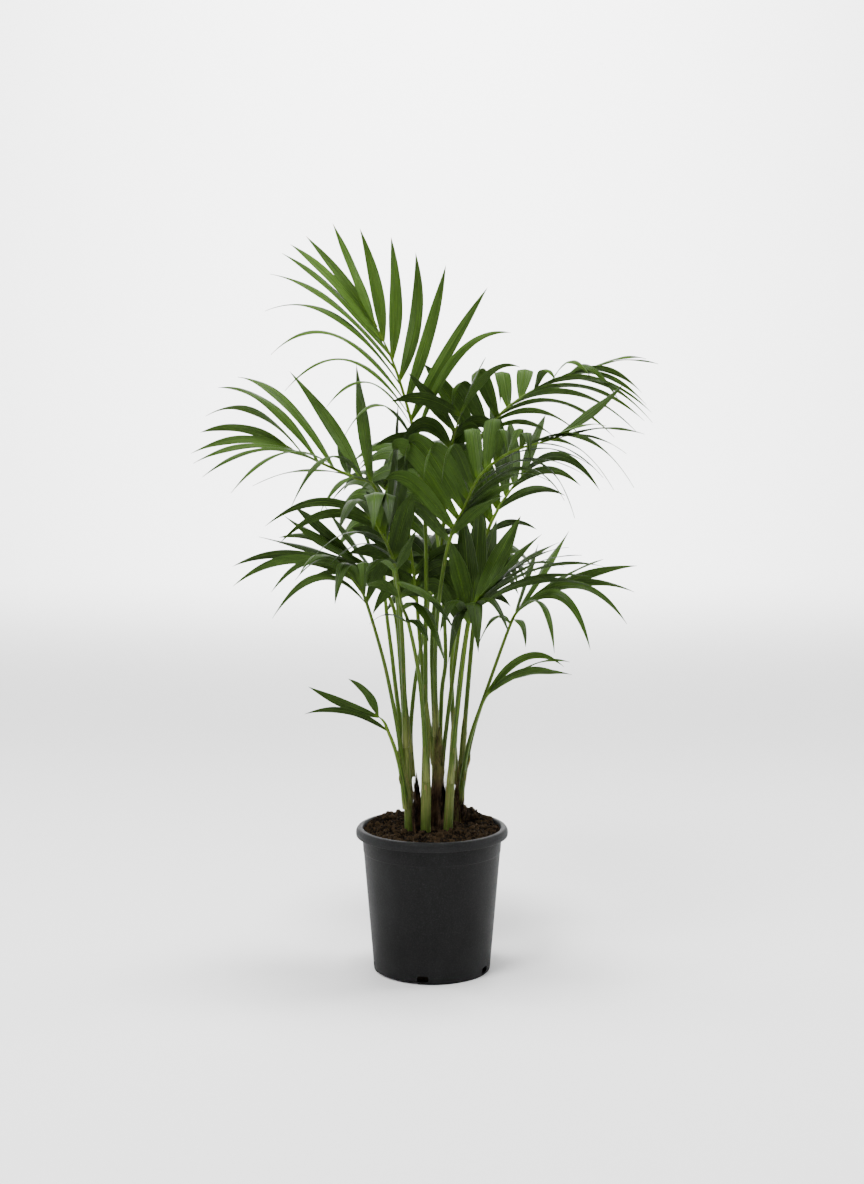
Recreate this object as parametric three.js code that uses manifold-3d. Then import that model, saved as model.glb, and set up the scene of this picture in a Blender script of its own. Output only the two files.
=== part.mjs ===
// A potted kentia palm: seven seedlings that share the soil of one round nursery pot.
// Millimetres, +Z up, origin at the middle of the pot's underside, -Y towards the front.
import * as THREE from 'three';
import { mergeVertices } from 'three/addons/utils/BufferGeometryUtils.js';
import Module from 'manifold-3d';

const wasm = await Module();
wasm.setup();

// ---- Driving sizes ----

const POT = {
  height: 183.5, footRadius: 73.6, footChamfer: 2.5, shoulderRadius: 88,
  rimRadius: 96, wall: 1.8, floor: 2.4, lipHeight: 11, lipWall: 1.8, segments: 32,
};
const SLOT = { count: 5, firstDegrees: -9, width: 14, depth: 5, bottom: 3, top: 11 };
const SOIL = { edge: 178, mound: 4, roughness: 1.6, columns: 24, crumbs: 10, crumbRadius: 3.4 };
const SOIL_RINGS = [0.94, 0.8, 0.6, 0.38, 0.18]; // rows of corners on top, as shares of the soil's radius
// Where soil is piled up behind the seedlings: the middle of each heap, how far it spreads and its height.
const HEAPS = [
  { x: -68, y: 28, spread: 17, height: 8 }, { x: -52, y: 56, spread: 28, height: 9 },
  { x: 0, y: 64, spread: 26, height: 6 }, { x: 42, y: 60, spread: 20, height: 16 },
  { x: 66, y: 42, spread: 20, height: 9 },
];
const STEM = { sides: 8, steps: 2 };
const STALK = { foot: 3.1, tip: 1.45, sides: 5, stepsPerPoint: 1.5 };
const BLADE = { thickness: 1.5, rootWidth: 0.25, widestAt: 0.38, segments: 4 };
// A leaflet that points forwards or back lies level: the share of its length that goes that way, from where
// it starts to turn to where it is level.
const LEVEL = { from: 0.4, to: 0.75 };
const STAGGER = 0.13; // how far one side's leaflets stand past the other's, in points of the rachis
const OLD_SHEATH = {
  low: 158, sides: 200, thickness: 1.6, columns: 6, torn: 7,
  loose: 2, // the clearance from which it stands in a hole of its own
};
const GAP = 0.3; // between a piece and the one that carries it
const SLIVERS = [0.2, 0.16, 0.12, 0.08]; // how far a surface may move to lose the slivers of its joins
const MERGE = 1e4; // corners in the same ten-thousandth of a millimetre are one corner
const CELL = 4; // the leaflets of two fronds stay at least this far apart
// A fan: degrees between its leaflets and the rachis, and how long the first, last and odd ones are.
const FAN = { firstAngle: 78, lastAngle: 24, scatter: 12, ends: 0.8, shortest: 0.93 };
const FRONT_EYE = new THREE.Vector3(0, -2300, 730); // the front view is drawn from here
const UP = new THREE.Vector3(0, 0, 1);
// Ways to bend a leaflet clear of another frond: away from the front, and up.
const BENDS = [
  [0, 0], [9, 0], [-9, 0], [18, 0], [-18, 0], [0, 9], [0, -9], [28, 0], [-28, 0], [14, 12], [-14, 12],
  [14, -12], [-14, -12], [40, 0], [-40, 0], [0, 20], [0, -20], [30, 20], [-30, 20], [30, -20], [-30, -20],
  [55, 0], [-55, 0],
];

const LEAF_GREEN = { color: 0x35591f, roughness: 0.5, metalness: 0 };
const SHEATH_GREEN = { color: 0x7d8a52, roughness: 0.6, metalness: 0 };
const DEAD_BROWN = { color: 0x3a2a1c, roughness: 0.9, metalness: 0 };
const POT_BLACK = { color: 0x2a2b2b, roughness: 0.55, metalness: 0 };
const SOIL_BROWN = { color: 0x2c2018, roughness: 1, metalness: 0 };

// ---- The plants ----
// A point is written as [x, z, y]: x and z as the front view shows them on the pot's middle plane,
// and y, how far the point lies behind that plane.

const STEMS = {
  left: { axis: [[-28, 130, -20], [-29, 180, -20], [-34, 306, -23]], foot: 6.2, top: 5 },
  left_back: { axis: [[-28, 130, 12], [-28, 180, 12], [-31, 296, 10]], foot: 6.4, top: 5.2 },
  centre: { axis: [[-8, 130, -26], [-8, 180, -26], [-7, 310, -27]], foot: 7, top: 5.8 },
  centre_back: { axis: [[5, 130, 0], [5, 180, 0], [5, 326, -3]], foot: 6.4, top: 4.8 },
  right: { axis: [[20, 130, -20], [20, 180, -20], [27, 300, -21]], foot: 6.2, top: 5 },
  right_back: { axis: [[33, 130, 26], [33, 180, 26], [37, 284, 30]], foot: 6, top: 4.6 },
  back: { axis: [[6, 130, 36], [6, 180, 36], [5, 300, 40]], foot: 6, top: 4.4 },
};

// Dead sheaths round a seedling's foot: the side that they cover, in degrees from +X, how far they stand off
// the stem, and the height of their tips.
const OLD_SHEATHS = [
  { name: 'old_sheath_left', stem: 'centre', facing: 152, spread: 50, clearance: 5.4, top: 256 },
  { name: 'old_sheath_centre', stem: 'centre_back', facing: -62, spread: 86, clearance: 0.8, top: 318 },
  { name: 'old_sheath_right', stem: 'right', facing: 150, spread: 54, clearance: 3.4, top: 254 },
  { name: 'old_sheath_back', stem: 'right_back', facing: -110, spread: 70, clearance: 0.8, top: 244 },
];

// Each frond: its stalk from the stem to the first leaflet, the rachis that goes on from there, and its
// leaflets from first to last as rows of tip x, z, y, width, rise and bow: how far the leaflet's middle lies
// above and to the right of the straight line to its tip. roll turns a side's blades about their length, in
// degrees, fold moves the top of their arch towards the tip, and widest is where on their length they are
// widest. A fan's leaflets spread by a rule.
const FRONDS = [
  {
    name: 'top_left',
    stem: 'centre',
    stalk: [[-8, 268, -27], [-8, 420, -20], [-8, 560, -6], [-19, 660, 2]],
    rachis: [[-31, 712, 8], [-49, 767, 14], [-72, 815, 20]],
    right: {
      roll: 0,
      tips: [
        [97, 800, -40, 11, 38, -6], [68, 855, -20, 17, 0, -4], [17, 882, 0, 17, 0, 3],
        [-20, 897, 10, 18, 0, 10], [-50, 916, 20, 17, 0, 5], [-88, 926, 30, 16, 0, 5],
        [-121, 932, 40, 15, 0, 2],
      ],
    },
    left: {
      roll: 50,
      tips: [
        [-113, 664, -70, 10, 50], [-130, 709, -40, 10, 44], [-181, 729, -20, 11, 54],
        [-198, 773, 0, 12, 54, -4], [-205, 826, 10, 12, 42], [-198, 871, 20, 13, 24],
        [-183, 896, 34, 15, 14], [-173, 907, 46, 17, 12], [-154, 917, 60, 13, 2, 3],
      ],
    },
  },
  {
    name: 'left',
    stem: 'left_back',
    stalk: [[-28, 278, 7], [-35, 360, 4], [-45, 490, -12], [-58, 565, -24], [-72, 612, -30]],
    rachis: [[-100, 624, -34], [-140, 642, -38], [-180, 661, -40]],
    right: {
      roll: 0,
      tips: [
        [-93, 761, 20, 18, 0], [-175, 753, 30, 18, 0, 8], [-116, 680, 60, 15, 0], [-239, 746, 0, 16, 26],
        [-263, 733, -12, 15, 26], [-279, 698, -28, 14, 30], [-286, 678, -30, 13, 14],
      ],
    },
    left: {
      roll: 36,
      tips: [
        [-140, 577, -110, 11, 26], [-177, 580, -120, 12, 46], [-222, 612, -110, 11, 14],
        [-249, 603, -110, 12, 36], [-284, 623, -90, 12, 26], [-295, 640, -70, 12, 18],
        [-298, 652, -45, 12, 14],
      ],
    },
  },
  {
    name: 'back_right',
    stem: 'right_back',
    stalk: [[37, 262, 31], [50, 420, 40], [60, 520, 46], [62, 600, 50], [58, 664, 54]],
    rachis: [[82, 698, 60], [112, 722, 68], [150, 742, 76], [186, 753, 84]],
    left: {
      roll: 0,
      fold: 0.5,
      widest: 0.45,
      tips: [
        [-10, 762, 20, 25, 4], [25, 708, 20, 25, 38, -6], [50, 724, 30, 22, 38, -5],
        [84, 714, 100, 22, 40, -2], [114, 722, 104, 21, 34, 3], [153, 741, 44, 17, 18, -4],
        [196, 745, 46, 14, 22, -6], [230, 718, 50, 12, 28, -10], [263, 768, 80, 11, 8],
      ],
    },
    right: {
      roll: 60,
      tips: [
        [160, 664, 10, 9, 24], [190, 668, 6, 8, 28], [225, 672, 10, 8, 32], [253, 678, 26, 8, 34],
        [262, 692, 34, 8, 30], [270, 703, 40, 8, 30], [272, 690, 60, 8, 28], [264, 712, 68, 8, 22],
        [258, 727, 76, 9, 18], [278, 762, 110, 10, 10],
      ],
    },
  },
  {
    name: 'front_right',
    stem: 'centre_back',
    stalk: [[5, 298, -3], [4, 400, -22], [10, 480, -42], [22, 545, -60]],
    rachis: [[40, 585, -76], [60, 625, -94], [100, 655, -112], [160, 672, -124]],
    left: {
      roll: 0,
      fold: 0.5,
      widest: 0.45,
      tips: [
        [-34, 588, -20, 25, 10], [-60, 618, -60, 23, 22], [-54, 634, -50, 23, 46, -10],
        [-34, 638, -60, 23, 46, -8], [-10, 620, -100, 20, 44, -6], [12, 614, -112, 21, 45, -2],
        [50, 646, -58, 21, 42, -3], [76, 658, -70, 21, 42, 2], [93, 652, -138, 14, 30],
        [112, 656, -96, 18, 26, 2], [122, 642, -156, 13, 26], [215, 686, -128, 12, 8],
        [235, 737, -110, 12, 0, 4],
      ],
    },
    right: {
      roll: 60,
      tips: [
        [88, 600, -116, 22, 8], [114, 620, -136, 18, 10], [147, 617, -130, 12, 26],
        [164, 594, -132, 11, 40, 8], [177, 572, -134, 12, 52, 14], [188, 626, -116, 10, 22],
        [198, 636, -110, 10, 24], [212, 622, -120, 10, 30, 2], [225, 607, -130, 11, 36, 4],
        [250, 610, -134, 12, 36, 4], [240, 652, -122, 10, 16], [262, 676, -118, 10, 10],
      ],
    },
  },
  {
    name: 'low_right',
    stem: 'right_back',
    stalk: [[37, 230, 24], [44, 270, 24], [55, 316, 24], [73, 370, 22], [98, 440, 18]],
    rachis: [[108, 457, 16], [122, 470, 14]],
    left: {
      roll: 0,
      tips: [
        [58, 414, -20, 13, 22], [132, 540, 60, 15, 4], [170, 556, 40, 20, 2], [213, 521, 50, 12, 8],
        [255, 513, 20, 13, 10],
      ],
    },
    right: {
      roll: 30,
      tips: [
        [117, 411, -30, 10, 12, 4], [153, 403, -50, 13, 38, 8], [198, 407, -44, 13, 42, 8],
        [243, 440, -30, 12, 36, 4], [252, 480, -4, 12, 18],
      ],
    },
  },
  {
    name: 'low_centre_right',
    stem: 'right',
    stalk: [[22, 238, -24], [32, 330, -32], [40, 400, -38], [46, 440, -42]],
    rachis: [[52, 460, -48], [60, 476, -56]],
    left: {
      roll: 60,
      tips: [
        [10, 430, -100, 20, 34], [20, 548, -36, 26, 4], [38, 580, -16, 27, 2], [60, 592, 0, 27, 2],
        [80, 570, 10, 25, 2], [110, 575, -20, 26, 4], [136, 552, -30, 14, 6], [158, 542, 0, 11, 8],
      ],
    },
    right: {
      roll: 30,
      tips: [
        [20, 390, -90, 16, 34], [58, 404, -100, 22, 36], [96, 428, -110, 16, 30],
        [200, 486, -110, 10, 22], [205, 498, -104, 10, 18], [213, 512, -76, 10, 22],
        [186, 526, -50, 9, 16], [170, 536, -20, 9, 14], [164, 512, 10, 9, 20],
      ],
    },
  },
  {
    name: 'low_left',
    stem: 'left',
    stalk: [[-34, 236, -23], [-42, 300, -30], [-51, 350, -38], [-62, 400, -48], [-80, 462, -58]],
    rachis: [[-90, 486, -66], [-104, 504, -76]],
    left: {
      roll: 50,
      tips: [
        [-199, 447, -110, 12, 42], [-170, 495, -130, 12, 34], [-200, 480, -90, 12, 36],
        [-248, 487, -74, 13, 30], [-248, 512, -60, 12, 20],
      ],
    },
    right: {
      roll: 0,
      fold: 0.2,
      tips: [
        [-40, 512, -90, 14, 22], [-84, 470, -130, 18, 40], [-121, 465, -130, 22, 36],
        [-166, 500, -140, 14, 24],
      ],
    },
  },
  {
    name: 'low_left_back',
    stem: 'left_back',
    stalk: [[-31, 240, 9], [-37, 350, 24], [-44, 440, 28], [-54, 476, 32]],
    rachis: [[-68, 500, 36], [-84, 516, 42], [-102, 528, 48]],
    left: {
      roll: 30,
      tips: [
        [-160, 490, 30, 14, 24], [-200, 526, 20, 15, 12], [-215, 549, 20, 17, 2], [-190, 548, 70, 14, 12],
      ],
    },
    right: {
      roll: 0,
      tips: [
        [-100, 600, 20, 21, 4], [-135, 590, 70, 20, 2], [-183, 575, 42, 24, -2], [-172, 588, 66, 17, 2],
      ],
    },
  },
  {
    name: 'small_left',
    stem: 'left',
    stalk: [[-33, 206, -24], [-38, 246, -34], [-46, 280, -40], [-55, 304, -46]],
    rachis: [[-60, 316, -50], [-68, 324, -54]],
    left: { roll: 40, tips: [[-160, 326, -80, 9, 14], [-155, 361, -50, 12, -2]] },
    right: { roll: 75, tips: [[-105, 371, -30, 12, 4, 6]] },
  },
  {
    name: 'small_right',
    stem: 'right_back',
    stalk: [[36, 212, 22], [40, 256, 12], [49, 300, 4], [66, 346, -4]],
    rachis: [[82, 360, -6], [98, 370, -8]],
    left: { roll: 10, tips: [[165, 386, -20, 11, 32], [172, 392, 10, 9, 12]] },
    right: { roll: 40, tips: [[160, 378, -60, 9, 16], [175, 376, -20, 8, 6]] },
  },
  {
    name: 'centre_left',
    stem: 'left',
    stalk: [[-33, 284, -23], [-37, 420, -36], [-44, 500, -48]],
    rachis: [[-52, 530, -60], [-62, 552, -76], [-74, 572, -94]],
    left: {
      roll: 20,
      tips: [
        [-110, 500, -120, 14, 16], [-128, 512, -126, 13, 22], [-150, 520, -130, 13, 24],
        [-190, 540, -130, 12, 30], [-207, 562, -120, 11, 26],
      ],
    },
    right: {
      roll: 0,
      tips: [
        [2, 590, -20, 27, 8], [-24, 604, -80, 27, 8], [-30, 650, -10, 25, 6], [-42, 712, -20, 18, 2, 4],
        [-52, 560, -180, 25, 44], [-73, 557, -200, 26, 42], [-116, 556, -210, 20, 30],
      ],
    },
  },
  {
    name: 'front_low',
    stem: 'centre',
    stalk: [[-7, 240, -31], [-11, 320, -42], [-17, 380, -54], [-29, 440, -66]],
    rachis: [[-37, 462, -76], [-42, 486, -92], [-46, 508, -108]],
    left: {
      roll: 10,
      tips: [[-78, 440, -110, 8, 12], [-92, 482, -140, 13, 14], [-84, 500, -170, 15, 18]],
    },
    right: {
      roll: 10,
      tips: [
        [-4, 418, -100, 18, 10], [18, 386, -110, 24, 34], [32, 424, -122, 24, 26], [14, 462, -130, 25, 6],
        [-20, 556, -100, 25, 4],
      ],
    },
  },
  {
    name: 'centre_right',
    stem: 'right',
    stalk: [[25, 254, -18], [36, 380, -6], [50, 470, 6], [66, 545, 16]],
    rachis: [[80, 580, 22], [98, 608, 30], [114, 628, 38]],
    left: {
      roll: 0,
      tips: [
        [30, 612, 40, 23, 8], [24, 690, 56, 24, 4], [50, 668, 80, 24, 6], [72, 728, 90, 22, 4],
        [96, 694, 110, 20, 6], [140, 700, 120, 15, 6],
      ],
    },
    right: {
      roll: 30,
      tips: [
        [130, 558, 10, 10, 12], [165, 600, 4, 11, 16], [184, 612, 20, 11, 22], [208, 606, 40, 12, 32],
      ],
    },
  },
  {
    name: 'centre',
    stem: 'back',
    stalk: [[5, 276, 40], [0, 420, 34], [12, 540, 22], [18, 606, 8]],
    rachis: [[22, 644, -4], [28, 676, -20], [36, 704, -38]],
    left: {
      roll: 0,
      tips: [
        [-60, 610, -30, 22, 36], [-70, 662, -16, 21, 22], [-46, 652, -44, 22, 34],
        [-29, 751, -10, 20, 4], [-50, 716, -30, 20, 12],
      ],
    },
    right: {
      roll: 0,
      tips: [
        [46, 586, -30, 22, 30], [70, 610, -40, 20, 40], [64, 676, -26, 22, 18], [88, 668, -20, 19, 24],
        [66, 770, -30, 15, 8], [108, 758, -60, 12, 22],
      ],
    },
  },
  {
    name: 'centre_low',
    stem: 'centre_back',
    stalk: [[3, 262, 2], [-8, 345, 6], [-16, 430, 6], [-19, 470, 3]],
    rachis: [[-22, 500, 0], [-26, 530, -6], [-28, 556, -14]],
    left: {
      roll: 10,
      tips: [
        [-74, 452, -30, 20, 26], [-96, 490, -20, 21, 22], [-104, 528, -10, 22, 14],
        [-100, 560, -10, 22, 8], [-82, 606, 0, 22, 4], [-52, 630, -6, 22, 4],
      ],
    },
    right: {
      roll: 10,
      tips: [
        [30, 452, -30, 20, 26], [44, 498, -20, 21, 20], [48, 534, -14, 22, 12], [38, 568, -10, 23, 8],
        [28, 604, -8, 22, 4], [6, 628, -6, 22, 4], [-22, 648, -10, 22, 2],
      ],
    },
  },
  {
    name: 'centre_low_right',
    stem: 'back',
    stalk: [[8, 214, 33], [17, 300, 28], [27, 380, 26], [35, 440, 22]],
    rachis: [[41, 474, 17], [46, 506, 10], [50, 534, 0]],
    left: {
      roll: 10,
      tips: [
        [-20, 472, 0, 21, 24], [-30, 510, 4, 22, 16], [-24, 552, 4, 23, 8], [12, 598, 0, 23, 4],
        [36, 630, -4, 22, 4],
      ],
    },
    right: {
      roll: 10,
      tips: [[98, 462, 0, 19, 24], [112, 512, 10, 20, 18], [104, 574, 10, 20, 6], [76, 614, 0, 22, 4]],
    },
  },
  {
    name: 'back',
    stem: 'back',
    stalk: [[9, 244, 41], [12, 350, 62], [17, 400, 76], [12, 500, 104], [2, 580, 140]],
    rachis: [[-6, 622, 172], [-12, 644, 208], [-16, 644, 246]],
    left: { roll: 0, fan: { count: 7, reach: 112, droop: 30, width: 28 } },
    right: { roll: 0, fan: { count: 7, reach: 112, droop: 30, width: 28 } },
  },
  {
    name: 'back_left',
    stem: 'left_back',
    stalk: [[-27, 220, 17], [-43, 340, 44], [-50, 400, 62], [-58, 470, 90], [-60, 550, 130]],
    rachis: [[-58, 590, 160], [-56, 612, 192], [-54, 616, 224]],
    left: { roll: 0, fan: { count: 6, reach: 84, droop: 28, width: 27 } },
    right: { roll: 0, fan: { count: 6, reach: 84, droop: 28, width: 27 } },
  },
  {
    name: 'back_right_low',
    stem: 'right_back',
    stalk: [[31, 236, 32], [26, 330, 50], [25, 400, 70], [36, 460, 104], [52, 500, 140]],
    rachis: [[62, 514, 168], [70, 522, 196], [76, 520, 222]],
    left: { roll: 0, fan: { count: 6, reach: 80, droop: 28, width: 27 } },
    right: { roll: 0, fan: { count: 6, reach: 80, droop: 28, width: 27 } },
  },
  {
    name: 'back_low',
    stem: 'left_back',
    stalk: [[-25, 246, 13], [-27, 300, 25], [-22, 360, 42], [-14, 410, 62], [-4, 470, 100]],
    rachis: [[-4, 510, 132], [-8, 532, 164], [-10, 536, 194]],
    left: { roll: 0, fan: { count: 5, reach: 74, droop: 26, width: 27 } },
    right: { roll: 0, fan: { count: 5, reach: 74, droop: 26, width: 27 } },
  },
];

// ---- Solids ----

// A closed three.js geometry as a manifold-3d solid.
function solid(geometry) {
  const bare = geometry.clone();
  bare.deleteAttribute('normal');
  bare.deleteAttribute('uv');
  const merged = mergeVertices(bare, 1e-4);
  const mesh = { numProp: 3, vertProperties: merged.attributes.position.array, triVerts: merged.index.array };
  return new wasm.Manifold(new wasm.Mesh(mesh));
}

// A manifold-3d solid as a named three.js mesh.
function named(name, made, finish) {
  const { vertProperties, triVerts } = made.getMesh();
  const geometry = new THREE.BufferGeometry();
  geometry.setAttribute('position', new THREE.BufferAttribute(vertProperties, 3));
  geometry.setIndex(new THREE.BufferAttribute(triVerts, 1));
  geometry.computeVertexNormals();
  const mesh = new THREE.Mesh(geometry, new THREE.MeshStandardMaterial(finish));
  mesh.name = name;
  return mesh;
}

// The largest body of a solid, without the scraps that a cut left or the hollows that joining sealed.
function largestBody(made) {
  return made.decompose().reduce((largest, body) => (body.volume() > largest.volume() ? body : largest));
}

// Whether two edges of a solid lie in one place.
function hasDoubledEdges(made) {
  const { vertProperties, triVerts } = made.getMesh();
  const corner = (i) => [0, 1, 2].map((axis) => Math.round(vertProperties[3 * i + axis] * MERGE)).join();
  const corners = Array.from(triVerts, corner);
  const faces = new Map();
  corners.forEach((from, i) => {
    const to = corners[i % 3 === 2 ? i - 2 : i + 1];
    const edge = from < to ? `${from} ${to}` : `${to} ${from}`;
    faces.set(edge, (faces.get(edge) ?? 0) + 1);
  });
  return [...faces.values()].some((count) => count > 2);
}

// A solid without the slivers that joining its pieces left.
function smoothed(made) {
  const lean = SLIVERS.map((move) => made.asOriginal().simplify(move));
  return lean.find((tried) => tried.decompose().length === 1 && !hasDoubledEdges(tried)) ?? made;
}

// A closed solid through rings of points that turn the same way round. A ring of one point is a sharp end.
function loft(rings) {
  const position = [];
  const starts = [];
  for (const ring of rings) {
    starts.push(position.length / 3);
    ring.forEach((p) => position.push(p.x, p.y, p.z));
  }
  const index = [];
  const sides = rings[0].length;
  const corner = (r, k) => starts[r] + (rings[r].length > 1 ? k % sides : 0);
  for (let r = 0; r + 1 < rings.length; r++) {
    for (let k = 0; k < sides; k++) {
      if (rings[r].length > 1) index.push(corner(r, k), corner(r, k + 1), corner(r + 1, k + 1));
      if (rings[r + 1].length > 1) index.push(corner(r, k), corner(r + 1, k + 1), corner(r + 1, k));
    }
  }
  const end = rings.length - 1;
  for (let k = 1; k + 1 < sides; k++) {
    index.push(corner(0, 0), corner(0, k + 1), corner(0, k));
    if (rings[end].length > 1) index.push(corner(end, 0), corner(end, k), corner(end, k + 1));
  }
  const geometry = new THREE.BufferGeometry();
  geometry.setAttribute('position', new THREE.Float32BufferAttribute(position, 3));
  geometry.setIndex(index);
  return solid(geometry);
}

// ---- Places ----

// Random numbers from 0 to 1, the same in every run.
let seed = 19;
function random() {
  seed = (seed * 16807) % 2147483647;
  return seed / 2147483647;
}

const mix = (a, b, share) => a + (b - a) * share;

// A point moved along the front view's line of sight, which leaves it where the front view shows it.
function pushedBack(p, away) {
  return p.clone().sub(FRONT_EYE).multiplyScalar(1 - away / FRONT_EYE.y).add(FRONT_EYE);
}
const seen = ([x, z, y]) => pushedBack(new THREE.Vector3(x, 0, z), y);

// A smooth curve through points. at counts the points: 2.5 is halfway from the third to the fourth.
function route(points) {
  const curve = new THREE.CatmullRomCurve3(points, false, 'catmullrom', 0.5);
  const last = points.length - 1;
  const point = (at) => curve.getPoint(at / last);
  const tangent = (at) => point(Math.min(at + 0.05, last)).sub(point(Math.max(at - 0.05, 0))).normalize();
  return { last, point, tangent };
}

// A tube along a route, with a radius that changes evenly from start to end.
function tube(path, { startRadius, endRadius, sides, steps, startsEarlier = 0 }) {
  const rings = [];
  for (let i = 0; i <= steps; i++) {
    const at = mix(0, path.last, i / steps);
    const along = path.tangent(at);
    const centre = path.point(at).addScaledVector(along, i === 0 ? -startsEarlier : 0);
    const across = new THREE.Vector3(0, 1, 0).cross(along).normalize();
    const other = along.clone().cross(across);
    const radius = mix(startRadius, endRadius, i / steps);
    const ring = [];
    for (let k = 0; k < sides; k++) {
      const turn = (2 * Math.PI * k) / sides;
      const spoke = across.clone().multiplyScalar(Math.cos(turn)).addScaledVector(other, Math.sin(turn));
      ring.push(centre.clone().addScaledVector(spoke, radius));
    }
    rings.push(ring);
  }
  return loft(rings);
}

// A leaflet from base to tip: places on it for s from 0 to 1, with the blade's own directions there.
function blade(base, tip, along, { width, rise, bow, roll, fold, widest }) {
  const arch = new THREE.Vector3(bow, 0, rise).multiplyScalar(4 / 3);
  const curve = new THREE.CubicBezierCurve3(
    base,
    base.clone().lerp(tip, 1 / 3).addScaledVector(arch, 1 - fold),
    base.clone().lerp(tip, 2 / 3).addScaledVector(arch, 1 + fold),
    tip,
  );
  const chord = tip.clone().sub(base);
  const length = chord.length();
  chord.normalize();
  const flat = along.clone().addScaledVector(chord, -along.dot(chord)).normalize();
  if (chord.clone().cross(flat).z < 0) flat.negate();
  const level = THREE.MathUtils.smoothstep(Math.abs(chord.y), LEVEL.from, LEVEL.to);
  const sideways = chord.clone().cross(UP).normalize();
  if (sideways.dot(flat) < 0) sideways.negate();
  flat.lerp(sideways, level).normalize();
  flat.applyAxisAngle(chord, THREE.MathUtils.degToRad(roll * (1 - level)));
  const at = (s) => {
    const forward = curve.getTangent(s);
    const across = flat.clone().addScaledVector(forward, -flat.dot(forward)).normalize();
    const up = forward.clone().cross(across);
    return { centre: curve.getPoint(s), across, up, half: (width / 2) * outline(s, widest) };
  };
  return { length, width, at };
}

// A leaflet's width along its length, as a share of the greatest.
function outline(s, widest) {
  if (s < widest) return mix(BLADE.rootWidth, 1, Math.sin((Math.PI / 2) * (s / widest)));
  return Math.cos((Math.PI / 2) * ((s - widest) / (1 - widest))) ** 0.9;
}

function bladeSolid(leaflet) {
  const rings = [];
  for (let i = 0; i < BLADE.segments; i++) {
    const { centre, across, up, half } = leaflet.at(i / BLADE.segments);
    const edge = (side) => centre.clone().addScaledVector(across, side * half);
    rings.push([edge(1), edge(-1), centre.clone().addScaledVector(up, -BLADE.thickness)]);
  }
  rings.push([leaflet.at(1).centre]);
  return loft(rings);
}

// ---- Room for each leaflet ----
// The space is divided in cells. A leaflet is bent until no cell in or beside it holds part of another frond.

const holders = new Map();
const cellKey = (i, j, k) => (i + 200) * 1e6 + (j + 200) * 1e3 + k;

function cellsOf(points) {
  const cells = new Map();
  for (const p of points) {
    const [i, j, k] = [p.x, p.y, p.z].map((value) => Math.floor(value / CELL));
    cells.set(cellKey(i, j, k), [i, j, k]);
  }
  return cells;
}

function pointsOfBlade(leaflet) {
  const points = [];
  const rows = Math.ceil((leaflet.length * 1.5) / CELL);
  const columns = Math.ceil((leaflet.width * 0.75) / CELL);
  for (let i = 0; i <= rows; i++) {
    const { centre, across, half } = leaflet.at(i / rows);
    for (let j = -columns; j <= columns; j++) {
      points.push(centre.clone().addScaledVector(across, (half * j) / columns));
    }
  }
  return points;
}

function pointsOfStalk(path) {
  const points = [];
  for (let at = 0; at <= path.last; at += 0.02) points.push(path.point(at));
  return points;
}

function isFree(cells, owner) {
  for (const [i, j, k] of cells.values()) {
    for (let n = 0; n < 27; n++) {
      const key = cellKey(i + (n % 3) - 1, j + (Math.floor(n / 3) % 3) - 1, k + Math.floor(n / 9) - 1);
      if (holders.has(key) && holders.get(key) !== owner) return false;
    }
  }
  return true;
}

function hold(cells, owner) {
  for (const key of cells.keys()) holders.set(key, owner);
}

// ---- Fronds ----

function frondPath(frond) {
  return route([...frond.stalk, ...frond.rachis].map(seen));
}

// Rows of tip, width and rise for a side, as points in space.
function tipsOf(side, turn, path, first) {
  if (side.tips) {
    return side.tips.map(([x, z, y, width, rise, bow = 0]) => ({ tip: seen([x, z, y]), width, rise, bow }));
  }
  const { count, reach, droop, width } = side.fan;
  return Array.from({ length: count }, (_, i) => {
    const share = i / (count - 1);
    const at = mix(first, path.last, share);
    const along = path.tangent(at);
    const sideways = along.clone().cross(UP).normalize();
    const scatter = FAN.scatter * (random() - 0.5);
    const angle = THREE.MathUtils.degToRad(mix(FAN.firstAngle, FAN.lastAngle, share) + scatter);
    const length = reach * mix(FAN.ends, 1, Math.sin(Math.PI * share)) * mix(FAN.shortest, 1, random());
    const tip = path.point(at).addScaledVector(along, length * Math.cos(angle));
    tip.addScaledVector(sideways, turn * length * Math.sin(angle)).addScaledVector(UP, -droop);
    return { tip, width, rise: droop, bow: 0 };
  });
}

function leafletsOf(frond, path) {
  const found = [];
  const first = frond.stalk.length - 1;
  [frond.left, frond.right].forEach((side, which) => {
    const rows = tipsOf(side, which === 0 ? -1 : 1, path, first);
    rows.forEach(({ tip, ...shape }, i) => {
      const share = rows.length > 1 ? i / (rows.length - 1) : 1;
      const at = mix(first + which * STAGGER, path.last - (1.4 - which) * STAGGER, share);
      for (const [away, up] of BENDS) {
        const bentTip = pushedBack(tip, away).addScaledVector(UP, up);
        const lie = { roll: side.roll, fold: side.fold ?? 0, widest: side.widest ?? BLADE.widestAt };
        const leaflet = blade(path.point(at), bentTip, path.tangent(at), { ...shape, ...lie });
        const cells = cellsOf(pointsOfBlade(leaflet));
        if (!isFree(cells, frond.name)) continue;
        hold(cells, frond.name);
        found.push(leaflet);
        return;
      }
    });
  });
  return found;
}

// A frond's stalk as a solid, or with grow the room that it takes in the stem that carries it.
function stalkSolid(path, grow = 0) {
  return tube(path, {
    startRadius: STALK.foot + grow,
    endRadius: STALK.tip + grow,
    sides: STALK.sides,
    steps: Math.round(STALK.stepsPerPoint * path.last),
    startsEarlier: grow,
  });
}

// ---- Stems, soil and pot ----

function stemAxis(stem) {
  return route(STEMS[stem].axis.map(seen));
}

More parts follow.
